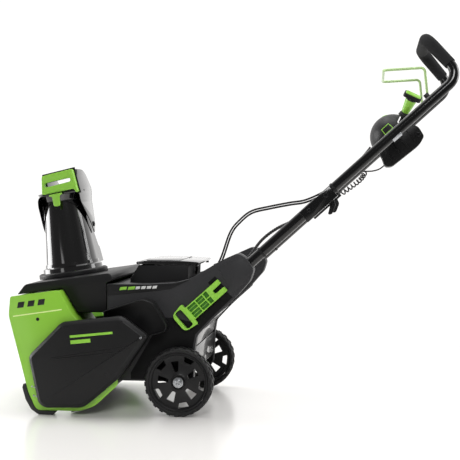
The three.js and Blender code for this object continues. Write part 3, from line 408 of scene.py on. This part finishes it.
abs_polished = surface("polished_abs", ("#050506", "#080809"), (0.07, 0.12), 6, 0.003, coat=0.8,
                       clouds=30)
eased("battery_lid", abs_polished, 1.4)
eased("lid_latch", abs_satin, 0.8)
pack_plastic = surface("pack_polycarbonate", ("#232325", "#2B2B2D"), (0.4, 0.5), 0.8, 0.02)
eased("battery_pack", pack_plastic, 3)
block((104, 236, 2.2), at(-72, 0, 450.2), edge=1.0)
settle("lid_panel", "battery_lid", abs_polished)
for count, y in enumerate((-118, 118)):
    block((10, 12, 6), at(30, y, 433.5), edge=1.2)
    settle(f"lid_lip_foot_{count}", "battery_lid", abs_polished)

# ---- Side frames --------------------------------------------------------------------------
# Each is a deep moulding in dark grey nylon that runs from the housing back to the handle's
# socket. A glossier black shoulder is let in along its top.

nylon_grey = surface("glass_filled_nylon", ("#29292B", "#2E2E30"), (0.46, 0.56), 0.9, 0.025,
                     clouds=120, specular=0.35)
# Painted shade: a near black copy of the nylon for the shaded lower flank and tool pocket.
nylon_painted_shade = surface("glass_filled_nylon_painted_shade", ("#0A0A0B", "#0D0D0E"), (0.5, 0.6), 0.9, 0.025,
                     clouds=120, specular=0.15)
print_white = surface("printed_white_ink", ("#D9DAD8", "#E2E3E1"), (0.4, 0.5), 0.5, 0.004)
FRAME_FACE = 235


def plate(points, sign, depth, proud, edge=0.8):
    """A flat plate on a side: an outline of (x, z) in mm, depth mm thick, proud of the frame."""
    bpy.ops.object.select_all(action="DESELECT")
    bpy.ops.mesh.primitive_circle_add(vertices=len(points), radius=1, fill_type="NGON")
    sheet = bpy.context.object
    for vertex, (x, z) in zip(sheet.data.vertices, points):
        vertex.co = at(x, sign * (FRAME_FACE + proud), z)
    bpy.ops.object.mode_set(mode="EDIT")
    bpy.ops.mesh.select_all(action="SELECT")
    bpy.ops.mesh.extrude_region_move(TRANSFORM_OT_translate={"value": (0, -sign * depth / 1000, 0)})
    bpy.ops.mesh.select_all(action="SELECT")
    bpy.ops.mesh.normals_make_consistent(inside=False)
    bpy.ops.object.mode_set(mode="OBJECT")
    round_edges(sheet, edge, 3, clamp=False)


shoulder = ((-221, 350), (-31, 371), (29, 400), (26, 401), (-14, 390), (-90, 385), (-221, 384))
flank = ((-150, 102), (-46, 102), (-28, 116), (30, 116), (36, 198), (44, 238), (92, 288),
         (156, 350), (126, 370), (110, 352), (28, 276), (-16, 287), (-58, 287), (-85, 232),
         (-150, 122))
pocket = ((82, 392), (103, 411), (147, 361), (124, 338))
arm_panel = ((112, 437), (178, 470), (190, 462), (212, 432), (202, 402), (150, 356), (136, 366),
             (142, 384))
for side, sign in SIDES:
    eased(f"side_frame_{side}", nylon_grey, 2.6)
    plate(shoulder, sign, 3, 1.4)
    settle(f"shoulder_{side}", "machine", abs_satin)
    plate(arm_panel, sign, 3, 1.2, 1.4)
    settle(f"arm_panel_{side}", "machine", nylon_grey)
    # The lower flank and the pocket behind the tool lie in shade, painted on as near black plates.
    plate(flank, sign, 1.6, 0.4, 0.5)
    settle(f"flank_{side}", "machine", nylon_painted_shade)
    plate(pocket, sign, 1.4, 0.6, 0.4)
    settle(f"tool_pocket_{side}", "machine", nylon_painted_shade)
    # Slanted blocks are printed along the shoulder: two green and four pale.
    marks = [(-172 + 25 * step, 21, 9, print_green) for step in range(2)]
    marks += [(-128 + 17 * step, 13, 8, print_white) for step in range(4)]
    for count, (x, wide, tall, ink) in enumerate(marks):
        block((wide, 0.6, tall), at(x, sign * (FRAME_FACE + 1.5), 372.5 + 0.05 * (x + 170)),
              (0, math.radians(-5), 0), 0.25, slant=0.4)
        settle(f"shoulder_mark_{side}_{count}", "machine", ink)

# ---- Chute seat and chute -----------------------------------------------------------------
# The chute is blow moulded and polished: thin black walls, a rounded back and flat sides
# that mirror the room in long upright bands.

chute_joint = next(j for j in frame["joints"] if j["name"] == "chute_turn")
CHUTE_LEAN = Matrix.Rotation(-math.atan2(-chute_joint["axis"][0], chute_joint["axis"][2]), 4, "Y")
CHUTE_PLACE = Matrix.Translation(chute_joint["pos_m"]) @ CHUTE_LEAN


def in_chute(x, y, z):
    """A point given in millimetres in the chute's own frame: z up its axis, y where snow leaves."""
    return CHUTE_PLACE @ Vector((x / 1000, y / 1000, z / 1000))


eased("chute_seat_ring", abs_satin, 0.8, corner=20)
BASE_RADIUS, TROUGH_FOOT, TROUGH_TOP, TAPER = 86, 33, 242, 0.29
WALL_FRONT, SIDE_SHARE = 84, 0.2
ROUND, UP = 72, 40
MOUTH = ((WALL_FRONT, 76), (64, 84), (40, 150), (23, TROUGH_TOP))


def trough_reach(z):
    """How far forward the side walls reach at height z: the mouth slopes back as it rises."""
    for (y_low, z_low), (y_high, z_high) in zip(MOUTH, MOUTH[1:]):
        if z <= z_high:
            share = max(0, (z - z_low) / (z_high - z_low))
            return y_low + (y_high - y_low) * share
    return MOUTH[-1][0]


def thicken(sheet, wall):
    """Gives the active sheet a wall of that many mm."""
    solid = sheet.modifiers.new("wall", "SOLIDIFY")
    solid.thickness = wall / 1000
    bpy.ops.object.modifier_apply(modifier="wall")


bpy.ops.object.select_all(action="DESELECT")
bpy.ops.mesh.primitive_grid_add(x_subdivisions=ROUND, y_subdivisions=UP, size=1)
trough = bpy.context.object
for vertex in trough.data.vertices:
    u, v = vertex.co.x + 0.5, vertex.co.y + 0.5
    z = TROUGH_FOOT + (TROUGH_TOP - TROUGH_FOOT) * v
    radius = BASE_RADIUS * (1 - TAPER * z / TROUGH_TOP)
    reach = min(WALL_FRONT * radius / BASE_RADIUS, trough_reach(z))
    if u < SIDE_SHARE:
        x, y = -radius, reach * (1 - u / SIDE_SHARE)
    elif u > 1 - SIDE_SHARE:
        x, y = radius, reach * (u - 1 + SIDE_SHARE) / SIDE_SHARE
    else:
        turn = math.pi * (1 + (u - SIDE_SHARE) / (1 - 2 * SIDE_SHARE))
        x, y = radius * math.cos(turn), radius * math.sin(turn)
    vertex.co = in_chute(x, y, z)
thicken(trough, 3)
settle("chute_trough", "chute", abs_polished, 50)


def lathe(profile, steps, place):
    """A turned piece: (radius, height) points in mm spun a full turn about place's z axis."""
    bpy.ops.object.select_all(action="DESELECT")
    bpy.ops.mesh.primitive_circle_add(vertices=len(profile), radius=1, fill_type="NOTHING")
    turned = bpy.context.object
    for vertex, (radius, height) in zip(turned.data.vertices, profile):
        vertex.co = (radius / 1000, 0, height / 1000)
    bpy.ops.object.mode_set(mode="EDIT")
    bpy.ops.mesh.select_all(action="SELECT")
    bpy.ops.mesh.spin(steps=steps, angle=2 * math.pi, center=(0, 0, 0), axis=(0, 0, 1))
    bpy.ops.mesh.select_all(action="SELECT")
    bpy.ops.mesh.remove_doubles(threshold=0.000005)
    bpy.ops.mesh.normals_make_consistent(inside=False)
    bpy.ops.object.mode_set(mode="OBJECT")
    turned.data.transform(place)


collar_profile = [(83, 6.6), (102.5, 6.6), (102.5, 10), (97, 12), (95, 14), (94, 30), (86, 34),
                  (84.5, 44), (80.8, 44)]
lathe(collar_profile, 96, CHUTE_PLACE)
collar = settle("chute_collar", "chute", abs_polished, 30)
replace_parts(collar, "chute_lower")

# ---- Deflector ----------------------------------------------------------------------------
# A second black moulding pivots on the chute's sides and carries a lime handle frame with
# a finger slot and a trigger.

lime_plastic = surface("lime_polypropylene", ("#90D045", "#97D44C"), (0.28, 0.36), 1.4, 0.012,
                       clouds=60)
eased("chute_deflector", abs_polished, 2.2)
eased("deflector_handle", lime_plastic, 1.3)
eased("deflector_trigger", lime_plastic, 1.4)
# The hood's skirt wraps the trough's back and ends in an arch, whose rolled rim is left out.
SKIRT_TOP, ARCH_TOP, ARCH_FOOT = 268, 240, 172
SKIRT_GAP, FLARE = 4, 0.45


def skirt_point(turn, share):
    """A point on the skirt: turn in radians from the middle of the back, share from rim to top."""
    rim = ARCH_FOOT + (ARCH_TOP - ARCH_FOOT) * math.cos(turn) ** 0.8
    z = rim + (SKIRT_TOP - rim) * share
    radius = BASE_RADIUS * (1 - TAPER * min(z, ARCH_TOP) / TROUGH_TOP)
    radius += SKIRT_GAP + max(0, z - ARCH_TOP) * FLARE
    return radius * math.sin(turn), -radius * math.cos(turn), z


bpy.ops.object.select_all(action="DESELECT")
bpy.ops.mesh.primitive_grid_add(x_subdivisions=48, y_subdivisions=12, size=1)
skirt = bpy.context.object
for vertex in skirt.data.vertices:
    vertex.co = in_chute(*skirt_point(vertex.co.x * math.radians(168), vertex.co.y + 0.5))
thicken(skirt, 2)
settle("hood_skirt", "deflector", abs_polished, 50)


def prism(points, low, high, place, edge=0.0):
    """An outline of (x, y) points in mm drawn up from low to high along place's z axis."""
    bpy.ops.object.select_all(action="DESELECT")
    bpy.ops.mesh.primitive_circle_add(vertices=len(points), radius=1, fill_type="NGON")
    drawn = bpy.context.object
    for vertex, (x, y) in zip(drawn.data.vertices, points):
        vertex.co = (x / 1000, y / 1000, low / 1000)
    bpy.ops.object.mode_set(mode="EDIT")
    bpy.ops.mesh.select_all(action="SELECT")
    rise = (0, 0, (high - low) / 1000)
    bpy.ops.mesh.extrude_region_move(TRANSFORM_OT_translate={"value": rise})
    bpy.ops.mesh.select_all(action="SELECT")
    bpy.ops.mesh.normals_make_consistent(inside=False)
    bpy.ops.object.mode_set(mode="OBJECT")
    if edge:
        round_edges(drawn, edge, 3)
    drawn.data.transform(place)
    return drawn


def carve(piece, cutters, edge=0.0):
    """Takes the cutters' shapes out of the piece, then rounds its sharp edges by edge mm."""
    bpy.ops.object.select_all(action="DESELECT")
    for cutter in cutters:
        cutter.select_set(True)
    bpy.context.view_layer.objects.active = cutters[0]
    bpy.ops.object.join()
    opening = piece.modifiers.new("opening", "BOOLEAN")
    opening.solver = "EXACT"
    opening.object = cutters[0]
    bpy.context.view_layer.objects.active = piece
    bpy.ops.object.modifier_apply(modifier="opening")
    bpy.data.objects.remove(cutters[0])
    bpy.ops.object.select_all(action="DESELECT")
    piece.select_set(True)
    if edge:
        round_edges(piece, edge, 2, corner=40)
    bpy.ops.object.shade_smooth_by_angle(angle=math.radians(30))


# A black backing plate shows as a thin edge round the lime handle frame.
BACKING = [(-41, 262), (64, 268), (69, 255), (82, 256), (79, 274), (72, 337), (-34, 327)]
facing = CHUTE_PLACE @ Matrix.Rotation(math.radians(90), 4, "X")
backing = prism(BACKING, 81, 84.5, facing)
finger_slot = block((84, 20, 13), in_chute(16, -84, 296), (0, math.radians(-13), 0), 2)
carve(backing, [finger_slot])
settle("handle_backing", "deflector", abs_satin, 30)
for side in (-1, 1):
    outwards = CHUTE_LEAN.to_3x3() @ Vector((side, 0, 0))
    name = "left" if side > 0 else "front"
    screw(f"hood_pivot_{name}", in_chute(side * 79, 30, 155), outwards, "deflector", 8, 3,
          black_oxide_and_hole_shade)

# ---- Clean-out tool -----------------------------------------------------------------------
# One moulding in lime polypropylene: a ring to pull it by, a shaft with open pockets between
# its ribs and two prongs at the end.

TOOL_SLOPE = math.radians(41.8)
RING_X, RING_Z = 13, 285
POCKETS = ((27, 57), (60, 86), (89, 103))
ROWS = (("low", -10.2), ("high", 10.2))
tool = eased("cleanout_tool", lime_plastic)


def on_tool(run, y, rise):
    """A point in mm along the tool's shaft from the middle of its ring."""
    return at(RING_X + run * math.cos(TOOL_SLOPE) - rise * math.sin(TOOL_SLOPE), y,
              RING_Z + run * math.sin(TOOL_SLOPE) + rise * math.cos(TOOL_SLOPE))


def tool_block(start, end, thick, wide, y, rise, edge):
    """A bar along the tool's shaft, between two runs in mm, at a depth and a rise."""
    return block((end - start, thick, wide), on_tool((start + end) / 2, y, rise),
                 (0, -TOOL_SLOPE, 0), edge)


carve(tool, [tool_block(start, end, 18, 17.6, -248.4, rise, 1.2)
             for start, end in POCKETS for side, rise in ROWS], 0.8)
lime_shade = surface("lime_polypropylene_in_shade", ("#3E7A1E", "#478424"), (0.4, 0.5), 1.4, 0.012,
                     clouds=60)
# A low rib divides each pocket of the two long pairs, and every pocket has a shaded floor.
for count, (start, end) in enumerate(POCKETS[:2]):
    for side, rise in ROWS:
        tool_block(start, end, 5, 1.6, -241.5, rise, 0.5)
        settle(f"tool_rib_{side}_{count}", "cleanout_tool", lime_plastic)
for count, (start, end) in enumerate(POCKETS):
    for side, rise in ROWS:
        tool_block(start + 0.2, end - 0.2, 0.8, 17.2, -239.9, rise, 0.3)
        settle(f"tool_floor_{side}_{count}", "cleanout_tool", lime_shade)

# ---- Wheels -------------------------------------------------------------------------------
# A hard rubber tyre with blocks of tread on its shoulders and crown is pressed on a moulded
# black rim, which has ten windows and a zinc push-on cap over the axle's end.

tread_rubber = surface("moulded_tyre_rubber", ("#0F0F10", "#161617"), (0.5, 0.65), 0.9, 0.05,
                       clouds=16, specular=0.4)
rim_plastic = surface("moulded_rim_polypropylene", ("#0F0F10", "#131314"), (0.36, 0.44), 0.8, 0.02,
                      clouds=70, specular=0.35)
WHEEL_MIDDLE, WHEEL_HEIGHT = 259, 101.5
# The tread has 26 lugs, 3 mm proud; those on the crown stand half a lug round from the rest.
LUGS, LUG_FOOT, CROWN_HALF, LUG_HEIGHT = 26, 0.096, 0.0065, 0.003
tyre_profile = [(86.5, -18), (90, -21.5), (95, -22), (98.3, -18), (98.3, -6.5), (98.3, 6.5),
                (98.3, 18), (95, 22), (90, 21.5), (86.5, 18)]
rim_profile = [(6.5, -19), (18, -19), (20, 4), (77, 4), (79, -18), (86, -19), (86, 19),
               (83, 19.6), (80, 17), (78.5, 13), (74, 12.4), (26, 14), (22.5, 16), (21, 16),
               (20, 12), (17, 12), (16.5, 18), (6.5, 18)]
cap_profile = [(0, 17), (15, 17), (15.6, 20), (15, 21.5), (11, 22), (10, 24), (7, 25),
               (5.5, 23.6), (0, 23.2)]
small_window = [(31, -5), (62, -12), (62, 12), (31, 5)]
wide_window = [(61, -11), (76, -17), (76, 17), (61, 11)]


for side, sign in SIDES:
    centre = at(0, sign * WHEEL_MIDDLE, WHEEL_HEIGHT)
    place = Matrix.Translation(centre) @ Matrix.Rotation(math.radians(-90 * sign), 4, "X")
    lathe(tyre_profile, LUGS * 4, place)
    tyre = bpy.context.object
    bpy.context.tool_settings.mesh_select_mode = (False, False, True)
    bpy.ops.object.mode_set(mode="EDIT")
    bpy.ops.mesh.select_all(action="DESELECT")
    bpy.ops.object.mode_set(mode="OBJECT")
    for face in tyre.data.polygons:
        arm = face.center - centre
        turn = math.atan2(arm.z, arm.x) / (2 * math.pi) * LUGS
        offset = 0.5 if abs(arm.y) < CROWN_HALF else 0
        face.select = math.hypot(arm.x, arm.z) > LUG_FOOT and (turn + offset) % 1 < 0.5
    bpy.ops.object.mode_set(mode="EDIT")
    bpy.ops.mesh.extrude_region_shrink_fatten(TRANSFORM_OT_shrink_fatten={"value": LUG_HEIGHT})
    bpy.ops.object.mode_set(mode="OBJECT")
    bpy.context.tool_settings.mesh_select_mode = (True, False, False)
    tyre = settle(f"tyre_{side}", f"wheel_{side}", tread_rubber, 32)
    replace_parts(tyre, f"wheel_tyre_{side}")
    windows = []
    for count in range(5):
        for turn, points in ((0, small_window), (36, wide_window)):
            angle = math.radians(-sign * (101 + turn + 72 * count))
            windows.append(prism(points, -40, 40, place @ Matrix.Rotation(angle, 4, "Z"), 1.6))
    lathe(rim_profile, 96, place)
    carve(bpy.context.object, windows)
    rim = settle(f"rim_{side}", f"wheel_{side}", rim_plastic, 28)
    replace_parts(rim, f"wheel_rim_{side}")
    lathe(cap_profile, 48, place)
    settle(f"hub_cap_{side}", f"wheel_{side}", zinc, 30)

# ---- Handle tubes and grip ----------------------------------------------------------------
# Steel tube in glossy black powder coat: two straight lower legs and one bent upper bow, whose
# crossbar is sleeved in closed-cell foam.

black_coat = surface("black_powder_coat", ("#050506", "#08080A"), (0.14, 0.2), 1.5, 0.008, coat=0.5,
                     clouds=80, specular=0.3)
foam = surface("closed_cell_foam", ("#222223", "#2A2A2B"), (0.85, 0.95), 0.8, 0.12, clouds=9,
               specular=0.15)
FOLD = Vector((427, 0, 650))
SLOPE = math.radians(42)
TUBE = 205


def on_handle(run, side, rise=0.0):
    """A point in mm: run along the tubes from the fold, side across, rise above the tubes."""
    return Vector((FOLD.x + run * math.cos(SLOPE) - rise * math.sin(SLOPE), side,
                   FOLD.z + run * math.sin(SLOPE) + rise * math.cos(SLOPE)))


def rounded(corners, radii, steps=10):
    """Stations along straight runs, in mm, with each inner corner rounded to its radius."""
    points = [Vector(corner) for corner in corners]
    stations = [points[0]]
    for corner, radius in zip(range(1, len(points) - 1), radii):
        back = (points[corner - 1] - points[corner]).normalized()
        on = (points[corner + 1] - points[corner]).normalized()
        half = back.angle(on) / 2
        middle = points[corner] + (back + on).normalized() * radius / math.sin(half)
        start = points[corner] + back * radius / math.tan(half) - middle
        end = points[corner] + on * radius / math.tan(half) - middle
        for step in range(steps + 1):
            angle = (math.pi - 2 * half) * step / steps
            turn = Matrix.Rotation(angle, 3, start.cross(end).normalized())
            stations.append(turn @ start + middle)
    return stations + [points[-1]]


def pipe(stations, radius, sides, swell=None):
    """A round bar through the stations, in mm, with closed ends. swell scales each station."""
    bpy.ops.object.select_all(action="DESELECT")
    line = bpy.data.curves.new("pipe", "CURVE")
    line.dimensions = "3D"
    line.bevel_depth = radius / 1000
    line.bevel_resolution = sides // 4 - 1
    line.use_fill_caps = True
    spline = line.splines.new("POLY")
    spline.points.add(len(stations) - 1)
    for count, station in enumerate(stations):
        spline.points[count].co = (*at(*station), 1)
        spline.points[count].radius = swell[count] if swell else 1
    drawn = bpy.data.objects.new("pipe", line)
    bpy.context.collection.objects.link(drawn)
    drawn.select_set(True)
    bpy.context.view_layer.objects.active = drawn
    bpy.ops.object.convert(target="MESH")
    drawn = bpy.context.object
    bpy.ops.object.mode_set(mode="EDIT")
    bpy.ops.mesh.select_all(action="SELECT")
    bpy.ops.mesh.remove_doubles(threshold=0.000002)
    bpy.ops.object.mode_set(mode="OBJECT")
    return drawn


for side, sign in SIDES:
    pipe([on_handle(-396, sign * TUBE), on_handle(-36, sign * TUBE)], 16, 48)
    leg = settle(f"lower_leg_{side}", "machine", black_coat)
    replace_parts(leg, f"lower_tube_{side}")
    # A pressed collar ends the lower leg above its socket.
    pipe([on_handle(-256, sign * TUBE), on_handle(-250, sign * TUBE)], 17.6, 48)
    settle(f"leg_collar_{side}", "machine", abs_satin)
BEND_STEPS = 12
corners = [on_handle(-14, -TUBE), (812, -TUBE, 996.7), (716, -158, 1106), (716, 158, 1106),
           (812, TUBE, 996.7), on_handle(-14, TUBE)]
bow = rounded(corners, [45, 45, 45, 45], BEND_STEPS)
pipe(bow, 15, 48)
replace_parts(settle("upper_bow", "handle", black_coat), "upper_handle")
# The sleeve covers the bow between the middles of its two lower bends.
sleeve = bow[BEND_STEPS + 1:-BEND_STEPS - 1]
pipe(sleeve, 19, 40, [0.92] + [1] * (len(sleeve) - 2) + [0.92])
grip = settle("foam_sleeve", "handle", foam)
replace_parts(grip, "foam_grip")

# ---- Fold brackets and cam levers ---------------------------------------------------------
# Folded steel channels join the legs to the bow at a pin, and a moulded cam lever locks each.
# The bolts are blackened; the nut under each lever is zinc plated.

TUBE_TURN = Matrix.Rotation(-SLOPE, 3, "Y")
for side, sign in SIDES:
    eased(f"fold_bracket_{side}", black_coat, 1.0)
    eased(f"cam_lever_{side}", abs_satin, 1.6)
    outwards = Vector((0, sign, 0))
    for name, run, size in (("pin", 0, 7.5), ("leg", -66, 6)):
        screw(f"fold_{name}_{side}", at(*on_handle(run, sign * (TUBE + 19.6))), outwards,
              "machine", size, 4, black_oxide_and_hole_shade)
    screw(f"cam_nut_{side}", at(*on_handle(0, sign * (TUBE - 45.6), -3)), -outwards,
          f"cam_lever_{side}", 6, 3, zinc)
    # A satin black collar stops the bow against its bracket.
    pipe([on_handle(26, sign * TUBE), on_handle(34, sign * TUBE)], 16.8, 40)
    settle(f"bow_collar_{side}", "handle", abs_satin)

# ---- Console ------------------------------------------------------------------------------
# A satin black dome of thin ABS over a boxy base, screwed to a zinc-plated bracket between the
# tubes. The dome is turned, widened across and slotted for the stick.

CONSOLE_RUN = 265
CONSOLE_PLACE = Matrix.Translation(at(*on_handle(CONSOLE_RUN, 0))) @ Matrix.Rotation(-SLOPE, 4, "Y")
WIDEN = Matrix.Diagonal((1, 1.2, 1, 1))
STICK_LIFT = math.radians(22.5)
DOME = 70


def dome_arc(radius, start, end):
    """Points of a quarter arc in mm, as (distance from the axis, height)."""
    turns = [math.radians(start + (end - start) * step / 14) for step in range(15)]
    return [(radius * math.cos(turn), 1 + radius * math.sin(turn)) for turn in turns]


lathe(dome_arc(DOME, 0, 90) + dome_arc(DOME - 3, 90, 0), 96, CONSOLE_PLACE @ WIDEN)
dome = bpy.context.object
slot_middle = CONSOLE_PLACE @ Matrix.Rotation(-STICK_LIFT, 4, "Y") @ Vector((0.06, 0, 0))
carve(dome, [block((50, 134, 18), slot_middle, (0, -SLOPE - STICK_LIFT, 0), 4)])
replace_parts(settle("console_shell", "handle", abs_satin, 35), "console_dome")
lathe([(66, 0), (73, 0), (74, 2), (72, 5), (68, 6.5), (66, 6)], 96, CONSOLE_PLACE @ WIDEN)
settle("console_flange", "handle", abs_satin, 40)
eased("console_base", abs_satin, 3)
eased("console_bracket", zinc, 0.6)
down = TUBE_TURN @ Vector((0, 0, -1))
for sign in (-1, 1):
    for run in (-9, 9):
        place = at(*on_handle(CONSOLE_RUN + run, sign * 178, -2.6))
        screw(f"saddle_screw_{sign}_{run}", place, down, "handle", 4, 3, zinc)
# Ribs and a screw boss stand on the base's sides.
for sign in (-1, 1):
    for count, run in enumerate((-50, -20, 10, 40)):
        block((4, 3, 40), at(*on_handle(CONSOLE_RUN + run, sign * 78.6, -34)), (0, -SLOPE, 0), 1)
        settle(f"base_rib_{sign}_{count}", "handle", abs_satin)
    screw(f"base_screw_{sign}", at(*on_handle(CONSOLE_RUN + 58, sign * 78, -46)), (0, sign, 0),
          "handle", 7, 5, black_oxide_and_hole_shade)


def dome_patch(name, low, high, start, end, lift, look):
    """A thin label on the dome, between two heights and two turns in degrees."""
    bpy.ops.object.select_all(action="DESELECT")
    bpy.ops.mesh.primitive_grid_add(x_subdivisions=16, y_subdivisions=8, size=1)
    patch = bpy.context.object
    for vertex in patch.data.vertices:
        turn = math.radians(start + (end - start) * (vertex.co.x + 0.5))
        height = math.radians(low + (high - low) * (vertex.co.y + 0.5))
        radius = (DOME + lift) / 1000
        reach = radius * math.cos(height)
        spot = Vector((reach * math.cos(turn), reach * math.sin(turn),
                       0.001 + radius * math.sin(height)))
        vertex.co = CONSOLE_PLACE @ WIDEN @ spot
    thicken(patch, 0.3)
    settle(name, "handle", look)


dome_patch("dome_label", 14, 33, -104, -76, 0.35, print_green)
dome_patch("dome_label_field", 16, 31, -102, -78, 0.75, abs_satin)

# ---- Chute stick, button and bail ---------------------------------------------------------
# The stick is a lime moulding with a black boot and collar; its cap has a black rim. The bail
# is 8 mm steel rod in a paler lime coat.

STICK_FOOT = Vector((0.048 * math.cos(STICK_LIFT), 0, 0.048 * math.sin(STICK_LIFT)))
STICK_PLACE = (CONSOLE_PLACE @ Matrix.Translation(STICK_FOOT)
               @ Matrix.Rotation(math.radians(90) - STICK_LIFT, 4, "Y")
               @ Matrix.Rotation(math.radians(28), 4, "X"))
boot_profile = [(0, 2), (5, 2), (5, 24), (15, 26), (17, 28), (15, 32), (15.5, 34), (12.5, 37),
                (12.8, 39), (9.5, 43), (0, 43)]
lathe(boot_profile, 40, STICK_PLACE)
settle("stick_boot", "stick", paddle_rubber, 30)
lathe([(0, 39), (11, 40), (12.4, 44), (13.4, 52), (17.2, 82), (17.2, 86.5), (0, 86.5)], 48, STICK_PLACE)
stick = settle("stick_grip", "stick", lime_plastic, 30)
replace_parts(stick, "control_stick")
lathe([(0, 86), (17, 86), (18.5, 87.5), (18.5, 90), (17, 92), (0, 92)], 48, STICK_PLACE)
settle("stick_collar", "stick", abs_satin, 30)
cap_outline = [(-23, -15), (23, -15), (28, -10), (28, 10), (23, 15), (-23, 15), (-28, 10), (-28, -10)]
prism(cap_outline, 90, 103, STICK_PLACE, 2.5)
settle("cap_rim", "stick", abs_satin, 35)
prism([(x * 0.86, y * 0.78) for x, y in cap_outline], 100, 105, STICK_PLACE, 1.8)
settle("cap_top", "stick", lime_plastic, 35)
lathe([(0, 56), (9, 56), (9, 70.4), (7.5, 71.6), (0, 72)], 40,
      CONSOLE_PLACE @ Matrix.Rotation(math.radians(20), 4, "Y"))
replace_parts(settle("button_cap", "start_button", lime_plastic, 30), "start_button")

lime_rod = surface("pale_lime_powder_coat", ("#B2D48C", "#BADA96"), (0.3, 0.38), 1.4, 0.015,
                   coat=0.2, clouds=50)
half_bail = [(720, 190, 933), (720, 182, 934), (711, 182, 1020), (593, 182, 1014)]
bail_line = half_bail + [(x, -y, z) for x, y, z in reversed(half_bail)]
pipe(rounded(bail_line, [6, 12, 14, 14, 12, 6]), 4, 24)
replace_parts(settle("bail_bar", "bail", lime_rod), "bail_rod")
for side, sign in SIDES:
    block((16, 5, 22), at(720, sign * 188.5, 935), (0, -SLOPE, 0), 1.5)
    settle(f"bail_lug_{side}", "handle", abs_satin)

# ---- Cables, conduit and coiled cord ------------------------------------------------------
# Two jacketed cables run from the deck to the console. The wiring runs in a ribbed conduit as
# far as the fold, then in a coiled cord.

jacket = surface("pvc_cable_jacket", ("#111112", "#181819"), (0.35, 0.5), 0.6, 0.01, clouds=25)
FINE_STEPS = 40


def flowing(points, spacing):
    """Stations every spacing mm on a smooth line through the points."""
    ends = [Vector(points[0]) * 2 - Vector(points[1])] + [Vector(point) for point in points]
    ends.append(ends[-1] * 2 - ends[-2])
    fine = []
    for before, start, end, after in zip(ends, ends[1:], ends[2:], ends[3:]):
        slope = end - before
        bend = 2 * before - 5 * start + 4 * end - after
        twist = 3 * start - before - 3 * end + after
        for step in range(FINE_STEPS):
            t = step / FINE_STEPS
            fine.append(0.5 * (2 * start + slope * t + bend * t ** 2 + twist * t ** 3))
    fine.append(ends[-2])
    stations, carried = [fine[0]], 0
    for here, there in zip(fine, fine[1:]):
        carried += (there - here).length
        if carried >= spacing:
            stations.append(there)
            carried = 0
    return stations


def join_all(pieces):
    """Makes one mesh of the pieces."""
    bpy.ops.object.select_all(action="DESELECT")
    for piece in pieces:
        piece.select_set(True)
    bpy.context.view_layer.objects.active = pieces[0]
    bpy.ops.object.join()


def lead(name):
    """Finishes the active mesh as a lead from the machine to the handle, in the cable jacket."""
    piece = bpy.context.object
    piece.name = name
    piece.data.name = name
    piece.data.materials.clear()
    piece.data.materials.append(jacket)
    bpy.ops.object.shade_smooth_by_angle(angle=math.radians(50))
    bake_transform(piece)
    return piece


cable_points = [(52, -60, 366), (74, -60, 404), (101, -60, 455), (130, -70, 533), (160, -82, 570),
                (198, -100, 598), (255, -125, 612), (318, -155, 624), (366, -176, 632),
                on_handle(0, -181, 9), on_handle(46, -176, 6), on_handle(100, -172, 6),
                on_handle(150, -140, 10), on_handle(182, -90, 16), on_handle(193, -30, 20)]
strands = []
middle_line = flowing(cable_points, 8)
for offset in (-3.6, 3.6):
    strand = []
    next_along = middle_line[1:] + [middle_line[-1] * 2 - middle_line[-2]]
    for here, there in zip(middle_line, next_along):
        strand.append(here + (there - here).cross(Vector((0, 1, 0))).normalized() * offset)
    strands.append(pipe(strand, 2.9, 16))
join_all(strands)
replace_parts(lead("twin_chute_cable"), "chute_cable_lower", "chute_cable_upper")
block((18, 22, 20), at(*on_handle(-60, -184, 5)), (0, -SLOPE, 0), 2.5)
settle("cable_clip", "machine", abs_satin)

conduit_points = [(70, 140, 342), (112, 148, 392), (160, 158, 446), (203, 165, 502), (249, 170, 538),
                  (295, 172, 561), (345, 172, 590), (388, 172, 622)]
ribs = flowing(conduit_points, 1.5)
pipe(ribs, 5.5, 16, [1 if count % 3 else 0.8 for count in range(len(ribs))])
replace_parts(lead("ribbed_conduit"), "harness_conduit")

coil_points = [on_handle(30, 150, -22), on_handle(70, 140, -26), on_handle(105, 120, -28),
               on_handle(130, 96, -22)]
core = flowing(coil_points, 0.6)
TURNS, COIL_RADIUS, CORD_RADIUS = 9, 6.6, 2.3
helix = []
for count, station in enumerate(core):
    heading = (core[min(count + 1, len(core) - 1)] - core[max(count - 1, 0)]).normalized()
    across = heading.cross(Vector((0, 1, 0))).normalized()
    turn = 2 * math.pi * TURNS * count / (len(core) - 1)
    outwards = across * math.cos(turn) + heading.cross(across) * math.sin(turn)
    helix.append(station + outwards * COIL_RADIUS)
coil = pipe(helix, CORD_RADIUS, 12)
way_in = [(384, 172, 619), on_handle(-20, 172, -4), on_handle(10, 160, -16), helix[0]]
way_out = [helix[-1], on_handle(150, 84, -34), on_handle(170, 70, -44), on_handle(190, 60, -46)]
join_all([coil] + [pipe(flowing(way, 5), CORD_RADIUS, 12) for way in (way_in, way_out)])
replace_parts(lead("coiled_lead"), "coiled_cord")
for name, x, y, z, radius in (("cable", 54, -60, 369, 9), ("conduit", 73, 140, 345, 10)):
    place = Matrix.Translation(at(x, y, z)) @ Matrix.Rotation(math.radians(35), 4, "Y")
    lathe([(3, -5), (radius, -5), (radius, 1), (radius - 2, 4), (radius - 3, 8), (3, 8)], 32, place)
    settle(f"{name}_gland", "machine", paddle_rubber, 30)
